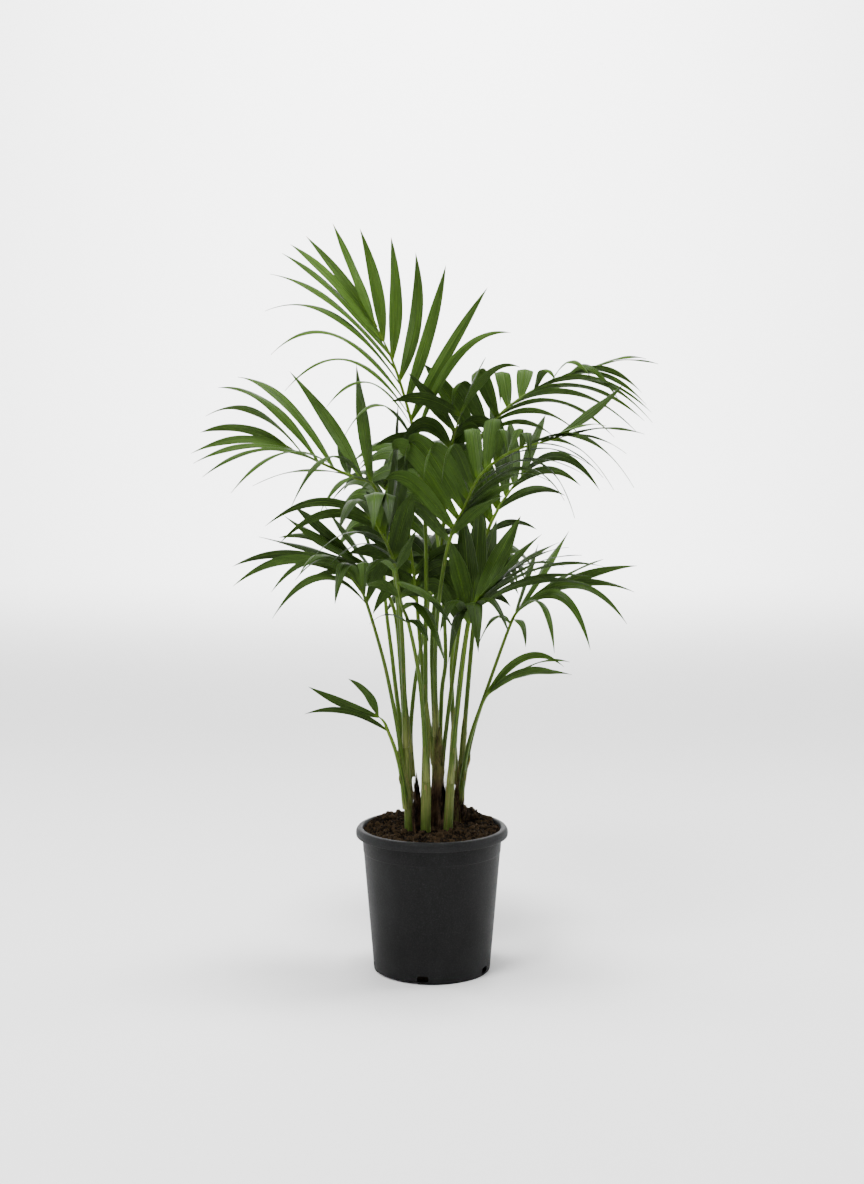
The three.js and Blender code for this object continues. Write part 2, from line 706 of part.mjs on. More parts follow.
// A seedling's stem: the green leaf bases rolled round each other. The fronds' feet stand in it.
function stemSolid(name, grow = 0) {
  const { foot, top } = STEMS[name];
  return tube(stemAxis(name), {
    startRadius: foot + grow,
    endRadius: top + grow,
    sides: STEM.sides,
    steps: STEM.steps,
    startsEarlier: grow,
  });
}

// A dead sheath: a strip of a tube that leans with its stem, highest in the middle and torn along its top.
// With grow it is the room for that in the soil. A tight sheath's room runs into the stem's own hole.
function oldSheath({ stem, facing, spread, clearance, top }, grow = 0) {
  const axis = stemAxis(stem);
  const { foot } = STEMS[stem];
  const [, [, bend], [, end]] = STEMS[stem].axis;
  const inner = foot + (grow > 0 && clearance < OLD_SHEATH.loose ? -2 : clearance - grow);
  const outer = foot + clearance + OLD_SHEATH.thickness + grow;
  const corner = (turn, radius, height) => {
    const centre = axis.point(Math.max(1, 1 + (height - bend) / (end - bend)));
    return new THREE.Vector3(centre.x + radius * Math.cos(turn), centre.y + radius * Math.sin(turn), height);
  };
  const rings = [];
  for (let i = 0; i <= OLD_SHEATH.columns; i++) {
    const share = (2 * i) / OLD_SHEATH.columns - 1;
    const turn = THREE.MathUtils.degToRad(facing + share * (spread + 10 * grow));
    const torn = i % 2 === 0 ? 0 : OLD_SHEATH.torn;
    const high = top - (top - OLD_SHEATH.sides) * Math.abs(share) ** 1.5 - torn;
    const low = OLD_SHEATH.low - grow;
    rings.push([
      corner(turn, inner, low), corner(turn, inner, high),
      corner(turn, outer, high), corner(turn, outer, low),
    ]);
  }
  return loft(rings);
}

// A closed outline of [radius, height] points turned about the upright axis.
function turned(outline, segments) {
  const points = outline.map(([radius, height]) => new THREE.Vector2(radius, height));
  return solid(new THREE.LatheGeometry(points, segments).rotateX(Math.PI / 2));
}

// The pot's outer radius at a height, on the straight wall under the lip.
const potRadius = (height) => mix(POT.footRadius, POT.shoulderRadius, height / (POT.height - POT.lipHeight));

function potSolid() {
  const { height, footRadius, shoulderRadius, rimRadius, wall, floor, lipHeight, lipWall, segments } = POT;
  const lipLow = height - lipHeight;
  const inner = shoulderRadius - wall;
  const body = turned([
    [0, 0], [footRadius - POT.footChamfer, 0], [potRadius(3), 3], [shoulderRadius, lipLow],
    [shoulderRadius, height - lipWall], [rimRadius - 4, height - lipWall],
    [rimRadius - lipWall, height - 4.6], [rimRadius - lipWall, lipLow],
    [rimRadius - 0.6, lipLow], [rimRadius, lipLow + 2], [rimRadius, height - 4.5],
    [rimRadius - 3, height - 0.6], [rimRadius - 6, height], [shoulderRadius, height], [inner, height - 2.5],
    [inner, lipLow], [potRadius(floor) - wall, floor], [0, floor],
  ], segments);
  return slots().reduce((pot, slot) => pot.subtract(slot), body);
}

// The drainage holes: boxes that go through the wall just above the floor.
function slots() {
  const tall = SLOT.top - SLOT.bottom;
  return Array.from({ length: SLOT.count }, (_, i) => {
    const box = new THREE.BoxGeometry(SLOT.width, SLOT.depth, tall);
    box.translate(0, -potRadius(SLOT.bottom) + 1, SLOT.bottom + tall / 2);
    box.rotateZ(THREE.MathUtils.degToRad(SLOT.firstDegrees + (360 / SLOT.count) * i));
    return solid(box);
  });
}

// The height of the soil: a low mound in the middle, a heap at the back, and a rough surface.
function soilHeight(x, y) {
  const share = Math.hypot(x, y) / POT.shoulderRadius;
  const piled = HEAPS.reduce((sum, heap) => (
    sum + heap.height * Math.exp(-((x - heap.x) ** 2 + (y - heap.y) ** 2) / heap.spread ** 2)
  ), 0);
  const rough = Math.sin(x * 0.31 + 1) * Math.cos(y * 0.27) + 0.6 * Math.sin(x * 0.74 - y * 0.58);
  const settled = 1 - share ** 10;
  return SOIL.edge + (SOIL.mound * (1 - share ** 2) + piled + SOIL.roughness * rough) * settled;
}

// The soil fills the pot. Its wall and floor are rings, and its top is rings of points at the soil's height.
function soilSolid() {
  const ring = (radius, heightAt) => Array.from({ length: SOIL.columns }, (_, k) => {
    const turn = (2 * Math.PI * k) / SOIL.columns;
    const [x, y] = [radius * Math.cos(turn), radius * Math.sin(turn)];
    return new THREE.Vector3(x, y, heightAt(x, y));
  });
  const inside = (height) => (potRadius(height) - POT.wall) * Math.cos(Math.PI / POT.segments) - GAP;
  const low = POT.floor + GAP;
  const widest = inside(SOIL.edge) - 1;
  return loft([
    ring(inside(low) - 2, () => low),
    ring(inside(low + 2), () => low + 2),
    ring(widest, () => SOIL.edge),
    ...SOIL_RINGS.map((share) => ring(widest * share, soilHeight)),
    [new THREE.Vector3(0, 0, soilHeight(0, 0))],
  ]);
}

// Larger crumbs that lie half sunk in the soil.
function crumbs() {
  return Array.from({ length: SOIL.crumbs }, () => {
    const turn = 2 * Math.PI * random();
    const radius = (POT.shoulderRadius - 12) * Math.sqrt(random());
    const [x, y] = [radius * Math.cos(turn), radius * Math.sin(turn)];
    const crumb = new THREE.IcosahedronGeometry(SOIL.crumbRadius * mix(0.7, 1.3, random()), 0);
    crumb.rotateX(6 * random());
    crumb.rotateY(6 * random());
    return solid(crumb.translate(x, y, soilHeight(x, y)));
  });
}

// ---- The whole ----

const part = new THREE.Group();
const paths = new Map(FRONDS.map((frond) => [frond.name, frondPath(frond)]));
for (const [name, path] of paths) hold(cellsOf(pointsOfStalk(path)), name);

const grownStalks = [...paths.values()].map((path) => stalkSolid(path, GAP));
const grownStems = Object.keys(STEMS).map((name) => stemSolid(name, GAP));

for (const frond of FRONDS) {
  const path = paths.get(frond.name);
  const blades = leafletsOf(frond, path).map(bladeSolid);
  const made = blades.reduce((sum, leaf) => sum.add(leaf), stalkSolid(path));
  part.add(named(`frond_${frond.name}`, smoothed(largestBody(made)), LEAF_GREEN));
}

for (const name of Object.keys(STEMS)) {
  const cut = grownStalks.reduce((stem, stalk) => stem.subtract(stalk), stemSolid(name));
  part.add(named(`stem_${name}`, largestBody(cut), SHEATH_GREEN));
}

for (const sheath of OLD_SHEATHS) {
  const grown = [...grownStems, ...grownStalks];
  const cut = grown.reduce((strip, piece) => strip.subtract(piece), oldSheath(sheath));
  part.add(named(sheath.name, largestBody(cut), DEAD_BROWN));
}

const rough = crumbs().reduce((soil, crumb) => soil.add(crumb), soilSolid());
const holes = [...grownStems, ...OLD_SHEATHS.map((sheath) => oldSheath(sheath, GAP))];
const cutSoil = largestBody(holes.reduce((soil, hole) => soil.subtract(hole), rough));
part.add(named('soil', smoothed(cutSoil), SOIL_BROWN));
part.add(named('pot', potSolid(), POT_BLACK));

export default part;
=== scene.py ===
"""A potted kentia palm: the looks of its pot, soil, stems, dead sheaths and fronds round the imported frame.

Blender's lengths are metres, +Z up, with the origin at the middle of the pot's underside and -Y towards the
front. The plant's own rows and the arithmetic on them are millimetres, and MM turns those into metres.
"""
import math

import bmesh
import bpy
import numpy as np
from mathutils import Matrix, Vector, noise


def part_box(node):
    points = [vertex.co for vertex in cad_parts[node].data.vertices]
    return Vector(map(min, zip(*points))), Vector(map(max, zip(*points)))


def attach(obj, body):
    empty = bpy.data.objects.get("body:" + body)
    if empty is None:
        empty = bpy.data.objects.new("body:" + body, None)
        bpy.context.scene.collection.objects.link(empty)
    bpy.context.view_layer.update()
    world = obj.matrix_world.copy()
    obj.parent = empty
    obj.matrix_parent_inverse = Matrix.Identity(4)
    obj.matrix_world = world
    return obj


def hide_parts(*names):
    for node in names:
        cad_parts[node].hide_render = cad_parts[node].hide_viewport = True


bl_info = {
    "name": "Potted Kentia Palm",
    "version": (1, 0, 0),
    "blender": (4, 5, 0),
    "location": "3D View > Sidebar > Palm",
    "description": "Dresses a packed palm with its pot, soil, stems, dead sheaths and fronds",
    "category": "Add Mesh",
}

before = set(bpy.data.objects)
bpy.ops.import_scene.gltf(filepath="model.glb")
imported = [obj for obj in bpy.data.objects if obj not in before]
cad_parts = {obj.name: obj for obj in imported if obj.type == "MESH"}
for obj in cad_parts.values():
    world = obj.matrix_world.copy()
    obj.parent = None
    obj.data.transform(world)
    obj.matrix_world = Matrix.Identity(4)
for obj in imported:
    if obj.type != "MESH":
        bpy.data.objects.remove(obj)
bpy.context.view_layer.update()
MM = 0.001
UP = np.array([0.0, 0.0, 1.0])

# ---- The plants ----
# A point is written as [x, z, y] in millimetres: x and z as the front view shows them on the pot's middle
# plane, and y, how far the point lies behind that plane.

STEMS = {
    "left": {"axis": [[-28, 130, -20], [-29, 180, -20], [-34, 306, -23]], "foot": 6.2, "top": 5},
    "left_back": {"axis": [[-28, 130, 12], [-28, 180, 12], [-31, 296, 10]], "foot": 6.4, "top": 5.2},
    "centre": {"axis": [[-8, 130, -26], [-8, 180, -26], [-7, 310, -27]], "foot": 7, "top": 5.8},
    "centre_back": {"axis": [[5, 130, 0], [5, 180, 0], [5, 326, -3]], "foot": 6.4, "top": 4.8},
    "right": {"axis": [[20, 130, -20], [20, 180, -20], [27, 300, -21]], "foot": 6.2, "top": 5},
    "right_back": {"axis": [[33, 130, 26], [33, 180, 26], [37, 284, 30]], "foot": 6, "top": 4.6},
    "back": {"axis": [[6, 130, 36], [6, 180, 36], [5, 300, 40]], "foot": 6, "top": 4.4},
}

# Dead sheaths round a seedling's foot: the side that they cover, in degrees from +X, how far they stand off
# the stem, the height of their tips, and how pale they have dried, from 0, dark and damp, to 1, straw.
OLD_SHEATHS = [
    {"name": "old_sheath_left", "stem": "centre", "facing": 152, "spread": 50, "clearance": 5.4,
     "top": 256, "dryness": 0.2},
    {"name": "old_sheath_centre", "stem": "centre_back", "facing": -62, "spread": 86, "clearance": 0.8,
     "top": 318, "dryness": 0.35},
    {"name": "old_sheath_right", "stem": "right", "facing": 150, "spread": 54, "clearance": 3.4,
     "top": 254, "dryness": 0.25},
    {"name": "old_sheath_back", "stem": "right_back", "facing": -110, "spread": 70, "clearance": 0.8,
     "top": 244, "dryness": 0.7},
]

# Each frond: its tone from 0, dark, to 1, light, partly its age and partly painted shade, low for the fronds
# at the back and in the middle of the plant; its stalk from the stem to the first leaflet, the rachis that
# goes on from there, and its leaflets from first to last as rows of tip x, z, y, width, rise and bow: how
# far the leaflet's middle lies above and to the right of the straight line to its tip. roll turns a side's
# blades about their length, in degrees, fold moves the top of their arch towards the tip, and widest is
# where on their length they are widest. A fan's leaflets spread by a rule.
FRONDS = [
    {
        "name": "top_left",
        "stem": "centre",
        "tone": 0.85,
        "stalk": [[-8, 268, -27], [-8, 420, -20], [-8, 560, -6], [-19, 660, 2]],
        "rachis": [[-31, 712, 8], [-49, 767, 14], [-72, 815, 20]],
        "right": {
            "roll": 0,
            "tips": [
                [97, 800, -40, 11, 38, -6], [68, 855, -20, 17, 0, -4], [17, 882, 0, 17, 0, 3],
                [-20, 897, 10, 18, 0, 10], [-50, 916, 20, 17, 0, 5], [-88, 926, 30, 16, 0, 5],
                [-121, 932, 40, 15, 0, 2],
            ],
        },
        "left": {
            "roll": 50,
            "tips": [
                [-113, 664, -70, 10, 50], [-130, 709, -40, 10, 44], [-181, 729, -20, 11, 54],
                [-198, 773, 0, 12, 54, -4], [-205, 826, 10, 12, 42], [-198, 871, 20, 13, 24],
                [-183, 896, 34, 15, 14], [-173, 907, 46, 17, 12], [-154, 917, 60, 13, 2, 3],
            ],
        },
    },
    {
        "name": "left",
        "stem": "left_back",
        "tone": 0.5,
        "stalk": [[-28, 278, 7], [-35, 360, 4], [-45, 490, -12], [-58, 565, -24], [-72, 612, -30]],
        "rachis": [[-100, 624, -34], [-140, 642, -38], [-180, 661, -40]],
        "right": {
            "roll": 0,
            "tips": [
                [-93, 761, 20, 18, 0], [-175, 753, 30, 18, 0, 8], [-116, 680, 60, 15, 0],
                [-239, 746, 0, 16, 26], [-263, 733, -12, 15, 26], [-279, 698, -28, 14, 30],
                [-286, 678, -30, 13, 14],
            ],
        },
        "left": {
            "roll": 36,
            "tips": [
                [-140, 577, -110, 11, 26], [-177, 580, -120, 12, 46], [-222, 612, -110, 11, 14],
                [-249, 603, -110, 12, 36], [-284, 623, -90, 12, 26], [-295, 640, -70, 12, 18],
                [-298, 652, -45, 12, 14],
            ],
        },
    },
    {
        "name": "back_right",
        "stem": "right_back",
        "tone": 0.6,
        "stalk": [[37, 262, 31], [50, 420, 40], [60, 520, 46], [62, 600, 50], [58, 664, 54]],
        "rachis": [[82, 698, 60], [112, 722, 68], [150, 742, 76], [186, 753, 84]],
        "left": {
            "roll": 0,
            "fold": 0.5,
            "widest": 0.45,
            "tips": [
                [-10, 762, 20, 25, 4], [25, 708, 20, 25, 38, -6], [50, 724, 30, 22, 38, -5],
                [84, 714, 100, 22, 40, -2], [114, 722, 104, 21, 34, 3], [153, 741, 44, 17, 18, -4],
                [196, 745, 46, 14, 22, -6], [230, 718, 50, 12, 28, -10], [263, 768, 80, 11, 8],
            ],
        },
        "right": {
            "roll": 60,
            "tips": [
                [160, 664, 10, 9, 24], [190, 668, 6, 8, 28], [225, 672, 10, 8, 32],
                [253, 678, 26, 8, 34], [262, 692, 34, 8, 30], [270, 703, 40, 8, 30],
                [272, 690, 60, 8, 28], [264, 712, 68, 8, 22], [258, 727, 76, 9, 18],
                [278, 762, 110, 10, 10],
            ],
        },
    },
    {
        "name": "front_right",
        "stem": "centre_back",
        "tone": 0.3,
        "stalk": [[5, 298, -3], [4, 400, -22], [10, 480, -42], [22, 545, -60]],
        "rachis": [[40, 585, -76], [60, 625, -94], [100, 655, -112], [160, 672, -124]],
        "left": {
            "roll": 0,
            "fold": 0.5,
            "widest": 0.45,
            "tips": [
                [-34, 588, -20, 25, 10], [-60, 618, -60, 23, 22], [-54, 634, -50, 23, 46, -10],
                [-34, 638, -60, 23, 46, -8], [-10, 620, -100, 20, 44, -6], [12, 614, -112, 21, 45, -2],
                [50, 646, -58, 21, 42, -3], [76, 658, -70, 21, 42, 2], [93, 652, -138, 14, 30],
                [112, 656, -96, 18, 26, 2], [122, 642, -156, 13, 26], [215, 686, -128, 12, 8],
                [235, 737, -110, 12, 0, 4],
            ],
        },
        "right": {
            "roll": 60,
            "tips": [
                [88, 600, -116, 22, 8], [114, 620, -136, 18, 10], [147, 617, -130, 12, 26],
                [164, 594, -132, 11, 40, 8], [177, 572, -134, 12, 52, 14], [188, 626, -116, 10, 22],
                [198, 636, -110, 10, 24], [212, 622, -120, 10, 30, 2], [225, 607, -130, 11, 36, 4],
                [250, 610, -134, 12, 36, 4], [240, 652, -122, 10, 16], [262, 676, -118, 10, 10],
            ],
        },
    },
    {
        "name": "low_right",
        "stem": "right_back",
        "tone": 0.5,
        "stalk": [[37, 230, 24], [44, 270, 24], [55, 316, 24], [73, 370, 22], [98, 440, 18]],
        "rachis": [[108, 457, 16], [122, 470, 14]],
        "left": {
            "roll": 0,
            "tips": [
                [58, 414, -20, 13, 22], [132, 540, 60, 15, 4], [170, 556, 40, 20, 2],
                [213, 521, 50, 12, 8], [255, 513, 20, 13, 10],
            ],
        },
        "right": {
            "roll": 30,
            "tips": [
                [117, 411, -30, 10, 12, 4], [153, 403, -50, 13, 38, 8], [198, 407, -44, 13, 42, 8],
                [243, 440, -30, 12, 36, 4], [252, 480, -4, 12, 18],
            ],
        },
    },
    {
        "name": "low_centre_right",
        "stem": "right",
        "tone": 0.1,
        "stalk": [[22, 238, -24], [32, 330, -32], [40, 400, -38], [46, 440, -42]],
        "rachis": [[52, 460, -48], [60, 476, -56]],
        "left": {
            "roll": 60,
            "tips": [
                [10, 430, -100, 20, 34], [20, 548, -36, 26, 4], [38, 580, -16, 27, 2],
                [60, 592, 0, 27, 2], [80, 570, 10, 25, 2], [110, 575, -20, 26, 4],
                [136, 552, -30, 14, 6], [158, 542, 0, 11, 8],
            ],
        },
        "right": {
            "roll": 30,
            "tips": [
                [20, 390, -90, 16, 34], [58, 404, -100, 22, 36], [96, 428, -110, 16, 30],
                [200, 486, -110, 10, 22], [205, 498, -104, 10, 18], [213, 512, -76, 10, 22],
                [186, 526, -50, 9, 16], [170, 536, -20, 9, 14], [164, 512, 10, 9, 20],
            ],
        },
    },
    {
        "name": "low_left",
        "stem": "left",
        "tone": 0.25,
        "stalk": [[-34, 236, -23], [-42, 300, -30], [-51, 350, -38], [-62, 400, -48], [-80, 462, -58]],
        "rachis": [[-90, 486, -66], [-104, 504, -76]],
        "left": {
            "roll": 50,
            "tips": [
                [-199, 447, -110, 12, 42], [-170, 495, -130, 12, 34], [-200, 480, -90, 12, 36],
                [-248, 487, -74, 13, 30], [-248, 512, -60, 12, 20],
            ],
        },
        "right": {
            "roll": 0,
            "fold": 0.2,
            "tips": [
                [-40, 512, -90, 14, 22], [-84, 470, -130, 18, 40], [-121, 465, -130, 22, 36],
                [-166, 500, -140, 14, 24],
            ],
        },
    },
    {
        "name": "low_left_back",
        "stem": "left_back",
        "tone": 0.15,
        "stalk": [[-31, 240, 9], [-37, 350, 24], [-44, 440, 28], [-54, 476, 32]],
        "rachis": [[-68, 500, 36], [-84, 516, 42], [-102, 528, 48]],
        "left": {
            "roll": 30,
            "tips": [
                [-160, 490, 30, 14, 24], [-200, 526, 20, 15, 12], [-215, 549, 20, 17, 2],
                [-190, 548, 70, 14, 12],
            ],
        },
        "right": {
            "roll": 0,
            "tips": [
                [-100, 600, 20, 21, 4], [-135, 590, 70, 20, 2], [-183, 575, 42, 24, -2],
                [-172, 588, 66, 17, 2],
            ],
        },
    },
    {
        "name": "small_left",
        "stem": "left",
        "tone": 0.3,
        "stalk": [[-33, 206, -24], [-38, 246, -34], [-46, 280, -40], [-55, 304, -46]],
        "rachis": [[-60, 316, -50], [-68, 324, -54]],
        "left": {"roll": 40, "tips": [[-160, 326, -80, 9, 14], [-155, 361, -50, 12, -2]]},
        "right": {"roll": 75, "tips": [[-105, 371, -30, 12, 4, 6]]},
    },
    {
        "name": "small_right",
        "stem": "right_back",
        "tone": 0.65,
        "stalk": [[36, 212, 22], [40, 256, 12], [49, 300, 4], [66, 346, -4]],
        "rachis": [[82, 360, -6], [98, 370, -8]],
        "left": {"roll": 10, "tips": [[165, 386, -20, 11, 32], [172, 392, 10, 9, 12]]},
        "right": {"roll": 40, "tips": [[160, 378, -60, 9, 16], [175, 376, -20, 8, 6]]},
    },
    {
        "name": "centre_left",
        "stem": "left",
        "tone": 0.02,
        "stalk": [[-33, 284, -23], [-37, 420, -36], [-44, 500, -48]],
        "rachis": [[-52, 530, -60], [-62, 552, -76], [-74, 572, -94]],
        "left": {
            "roll": 20,
            "tips": [
                [-110, 500, -120, 14, 16], [-128, 512, -126, 13, 22], [-150, 520, -130, 13, 24],
                [-190, 540, -130, 12, 30], [-207, 562, -120, 11, 26],
            ],
        },
        "right": {
            "roll": 0,
            "tips": [
                [2, 590, -20, 27, 8], [-24, 604, -80, 27, 8], [-30, 650, -10, 25, 6],
                [-42, 712, -20, 18, 2, 4], [-52, 560, -180, 25, 44], [-73, 557, -200, 26, 42],
                [-116, 556, -210, 20, 30],
            ],
        },
    },
    {
        "name": "front_low",
        "stem": "centre",
        "tone": 0.25,
        "stalk": [[-7, 240, -31], [-11, 320, -42], [-17, 380, -54], [-29, 440, -66]],
        "rachis": [[-37, 462, -76], [-42, 486, -92], [-46, 508, -108]],
        "left": {
            "roll": 10,
            "tips": [[-78, 440, -110, 8, 12], [-92, 482, -140, 13, 14], [-84, 500, -170, 15, 18]],
        },
        "right": {
            "roll": 10,
            "tips": [
                [-4, 418, -100, 18, 10], [18, 386, -110, 24, 34], [32, 424, -122, 24, 26],
                [14, 462, -130, 25, 6], [-20, 556, -100, 25, 4],
            ],
        },
    },
    {
        "name": "centre_right",
        "stem": "right",
        "tone": 0.25,
        "stalk": [[25, 254, -18], [36, 380, -6], [50, 470, 6], [66, 545, 16]],
        "rachis": [[80, 580, 22], [98, 608, 30], [114, 628, 38]],
        "left": {
            "roll": 0,
            "tips": [
                [30, 612, 40, 23, 8], [24, 690, 56, 24, 4], [50, 668, 80, 24, 6], [72, 728, 90, 22, 4],
                [96, 694, 110, 20, 6], [140, 700, 120, 15, 6],
            ],
        },
        "right": {
            "roll": 30,
            "tips": [
                [130, 558, 10, 10, 12], [165, 600, 4, 11, 16], [184, 612, 20, 11, 22],
                [208, 606, 40, 12, 32],
            ],
        },
    },
    {
        "name": "centre",
        "stem": "back",
        "tone": 0.2,
        "stalk": [[5, 276, 40], [0, 420, 34], [12, 540, 22], [18, 606, 8]],
        "rachis": [[22, 644, -4], [28, 676, -20], [36, 704, -38]],
        "left": {
            "roll": 0,
            "tips": [
                [-60, 610, -30, 22, 36], [-70, 662, -16, 21, 22], [-46, 652, -44, 22, 34],
                [-29, 751, -10, 20, 4], [-50, 716, -30, 20, 12],
            ],
        },
        "right": {
            "roll": 0,
            "tips": [
                [46, 586, -30, 22, 30], [70, 610, -40, 20, 40], [64, 676, -26, 22, 18],
                [88, 668, -20, 19, 24], [66, 770, -30, 15, 8], [108, 758, -60, 12, 22],
            ],
        },
    },
    {
        "name": "centre_low",
        "stem": "centre_back",
        "tone": 0.05,
        "stalk": [[3, 262, 2], [-8, 345, 6], [-16, 430, 6], [-19, 470, 3]],
        "rachis": [[-22, 500, 0], [-26, 530, -6], [-28, 556, -14]],
        "left": {
            "roll": 10,
            "tips": [
                [-74, 452, -30, 20, 26], [-96, 490, -20, 21, 22], [-104, 528, -10, 22, 14],
                [-100, 560, -10, 22, 8], [-82, 606, 0, 22, 4], [-52, 630, -6, 22, 4],
            ],
        },
        "right": {
            "roll": 10,
            "tips": [
                [30, 452, -30, 20, 26], [44, 498, -20, 21, 20], [48, 534, -14, 22, 12],
                [38, 568, -10, 23, 8], [28, 604, -8, 22, 4], [6, 628, -6, 22, 4],
                [-22, 648, -10, 22, 2],
            ],
        },
    },
    {
        "name": "centre_low_right",
        "stem": "back",
        "tone": 0.05,
        "stalk": [[8, 214, 33], [17, 300, 28], [27, 380, 26], [35, 440, 22]],
        "rachis": [[41, 474, 17], [46, 506, 10], [50, 534, 0]],
        "left": {
            "roll": 10,
            "tips": [
                [-20, 472, 0, 21, 24], [-30, 510, 4, 22, 16], [-24, 552, 4, 23, 8], [12, 598, 0, 23, 4],
                [36, 630, -4, 22, 4],
            ],
        },
        "right": {
            "roll": 10,
            "tips": [
                [98, 462, 0, 19, 24], [112, 512, 10, 20, 18], [104, 574, 10, 20, 6], [76, 614, 0, 22, 4],
            ],
        },
    },
    # The fans at the back have low tones: painted shade, as they lie behind the rest of the plant.
    {
        "name": "back",
        "stem": "back",
        "tone": 0.15,
        "stalk": [[9, 244, 41], [12, 350, 62], [17, 400, 76], [12, 500, 104], [2, 580, 140]],
        "rachis": [[-6, 622, 172], [-12, 644, 208], [-16, 644, 246]],
        "left": {"roll": 0, "fan": {"count": 7, "reach": 112, "droop": 30, "width": 28}},
        "right": {"roll": 0, "fan": {"count": 7, "reach": 112, "droop": 30, "width": 28}},
    },
    {
        "name": "back_left",
        "stem": "left_back",
        "tone": 0.15,
        "stalk": [[-27, 220, 17], [-43, 340, 44], [-50, 400, 62], [-58, 470, 90], [-60, 550, 130]],
        "rachis": [[-58, 590, 160], [-56, 612, 192], [-54, 616, 224]],
        "left": {"roll": 0, "fan": {"count": 6, "reach": 84, "droop": 28, "width": 27}},
        "right": {"roll": 0, "fan": {"count": 6, "reach": 84, "droop": 28, "width": 27}},
    },
    {
        "name": "back_right_low",
        "stem": "right_back",
        "tone": 0.15,
        "stalk": [[31, 236, 32], [26, 330, 50], [25, 400, 70], [36, 460, 104], [52, 500, 140]],
        "rachis": [[62, 514, 168], [70, 522, 196], [76, 520, 222]],
        "left": {"roll": 0, "fan": {"count": 6, "reach": 80, "droop": 28, "width": 27}},
        "right": {"roll": 0, "fan": {"count": 6, "reach": 80, "droop": 28, "width": 27}},
    },
    {
        "name": "back_low",
        "stem": "left_back",
        "tone": 0.1,
        "stalk": [[-25, 246, 13], [-27, 300, 25], [-22, 360, 42], [-14, 410, 62], [-4, 470, 100]],
        "rachis": [[-4, 510, 132], [-8, 532, 164], [-10, 536, 194]],
        "left": {"roll": 0, "fan": {"count": 5, "reach": 74, "droop": 26, "width": 27}},
        "right": {"roll": 0, "fan": {"count": 5, "reach": 74, "droop": 26, "width": 27}},
    },
]

# ---- Sizes of the plants' arithmetic, in millimetres ----

BLADE_ROOT = 0.25  # a leaflet's width where it leaves the rachis, as a share of its greatest
BLADE_WIDEST = 0.38  # the share of its length where a leaflet is widest
BLADE_TAPER = 0.9  # the power of the cosine by which a leaflet narrows to its tip
BLADE_TIP = 0.08  # half its width at its very tip
WAVES, WAVE_SHIFT = 9, 40  # how often a leaflet's edges wave, and how far its tone shifts the waves
ROOM_STEPS = 1.5  # a leaflet's points in each cell's length
NEAR = 0.05  # how far a tangent reaches to each side of its place, in points of its route
STALK_STEP = 0.02  # from one point of a stalk to the next, where it takes up room
LEVEL_FROM, LEVEL_TO = 0.4, 0.75  # a leaflet that points forwards or back by such a share turns level
STAGGER = 0.13  # how far one side's leaflets stand past the other's, in points of the rachis
LAST_LEAFLET = 1.4  # how far the last leaflet stands before the rachis' end, in staggers
STALK_FOOT, STALK_TIP = 3.1, 1.45  # radii of a frond's stalk
STALK_GRAIN = 3  # the radius on which the grain of a stalk is laid out
CELL = 4  # the leaflets of two fronds stay at least this far apart
CELLS = (200, 200, 260)  # the space that holds the plants, in cells
FIRST_CELL = np.array([-100, -100, -4])
FAN = {"first_angle": 78, "last_angle": 24, "scatter": 12, "ends": 0.8, "shortest": 0.93}
FRONT_EYE = np.array([0.0, -2300.0, 730.0])
# Ways to bend a leaflet clear of another frond: away from the front, and up.
BENDS = [
    (0, 0), (9, 0), (-9, 0), (18, 0), (-18, 0), (0, 9), (0, -9), (28, 0), (-28, 0), (14, 12), (-14, 12),
    (14, -12), (-14, -12), (40, 0), (-40, 0), (0, 20), (0, -20), (30, 20), (-30, 20), (30, -20),
    (-30, -20), (55, 0), (-55, 0),
]


def mix(a, b, share):
    return a + (b - a) * share


def smooth(low, high, value):
    """0 below low, 1 above high and a smooth step between them."""
    share = np.clip((value - low) / (high - low), 0, 1)
    return share * share * (3 - 2 * share)


def unit(v):
    return v / np.linalg.norm(v, axis=-1, keepdims=True)


def pushed_back(p, away):
    """A point moved along the front view's line of sight, which leaves it where the front view shows it."""
    return (p - FRONT_EYE) * (1 - away / FRONT_EYE[1]) + FRONT_EYE


def seen(place):
    x, z, y = place
    return pushed_back(np.array([x, 0.0, z]), y)


class Route:
    """A smooth curve through points. at counts the points: 2.5 is halfway from the third to the fourth."""

    def __init__(self, points):
        self.points = np.array(points, float)
        self.last = len(points) - 1

    def point(self, at):
        start = min(int(at), self.last - 1)
        share = at - start
        p = self.points
        before = p[start - 1] if start > 0 else 2 * p[0] - p[1]
        after = p[start + 2] if start + 2 <= self.last else 2 * p[-1] - p[-2]
        leave = (p[start + 1] - before) / 2
        arrive = (after - p[start]) / 2
        step = p[start + 1] - p[start]
        return p[start] + leave * share + (3 * step - 2 * leave - arrive) * share**2 + (
            leave + arrive - 2 * step) * share**3

    def tangent(self, at):
        return unit(self.point(min(at + NEAR, self.last)) - self.point(max(at - NEAR, 0)))


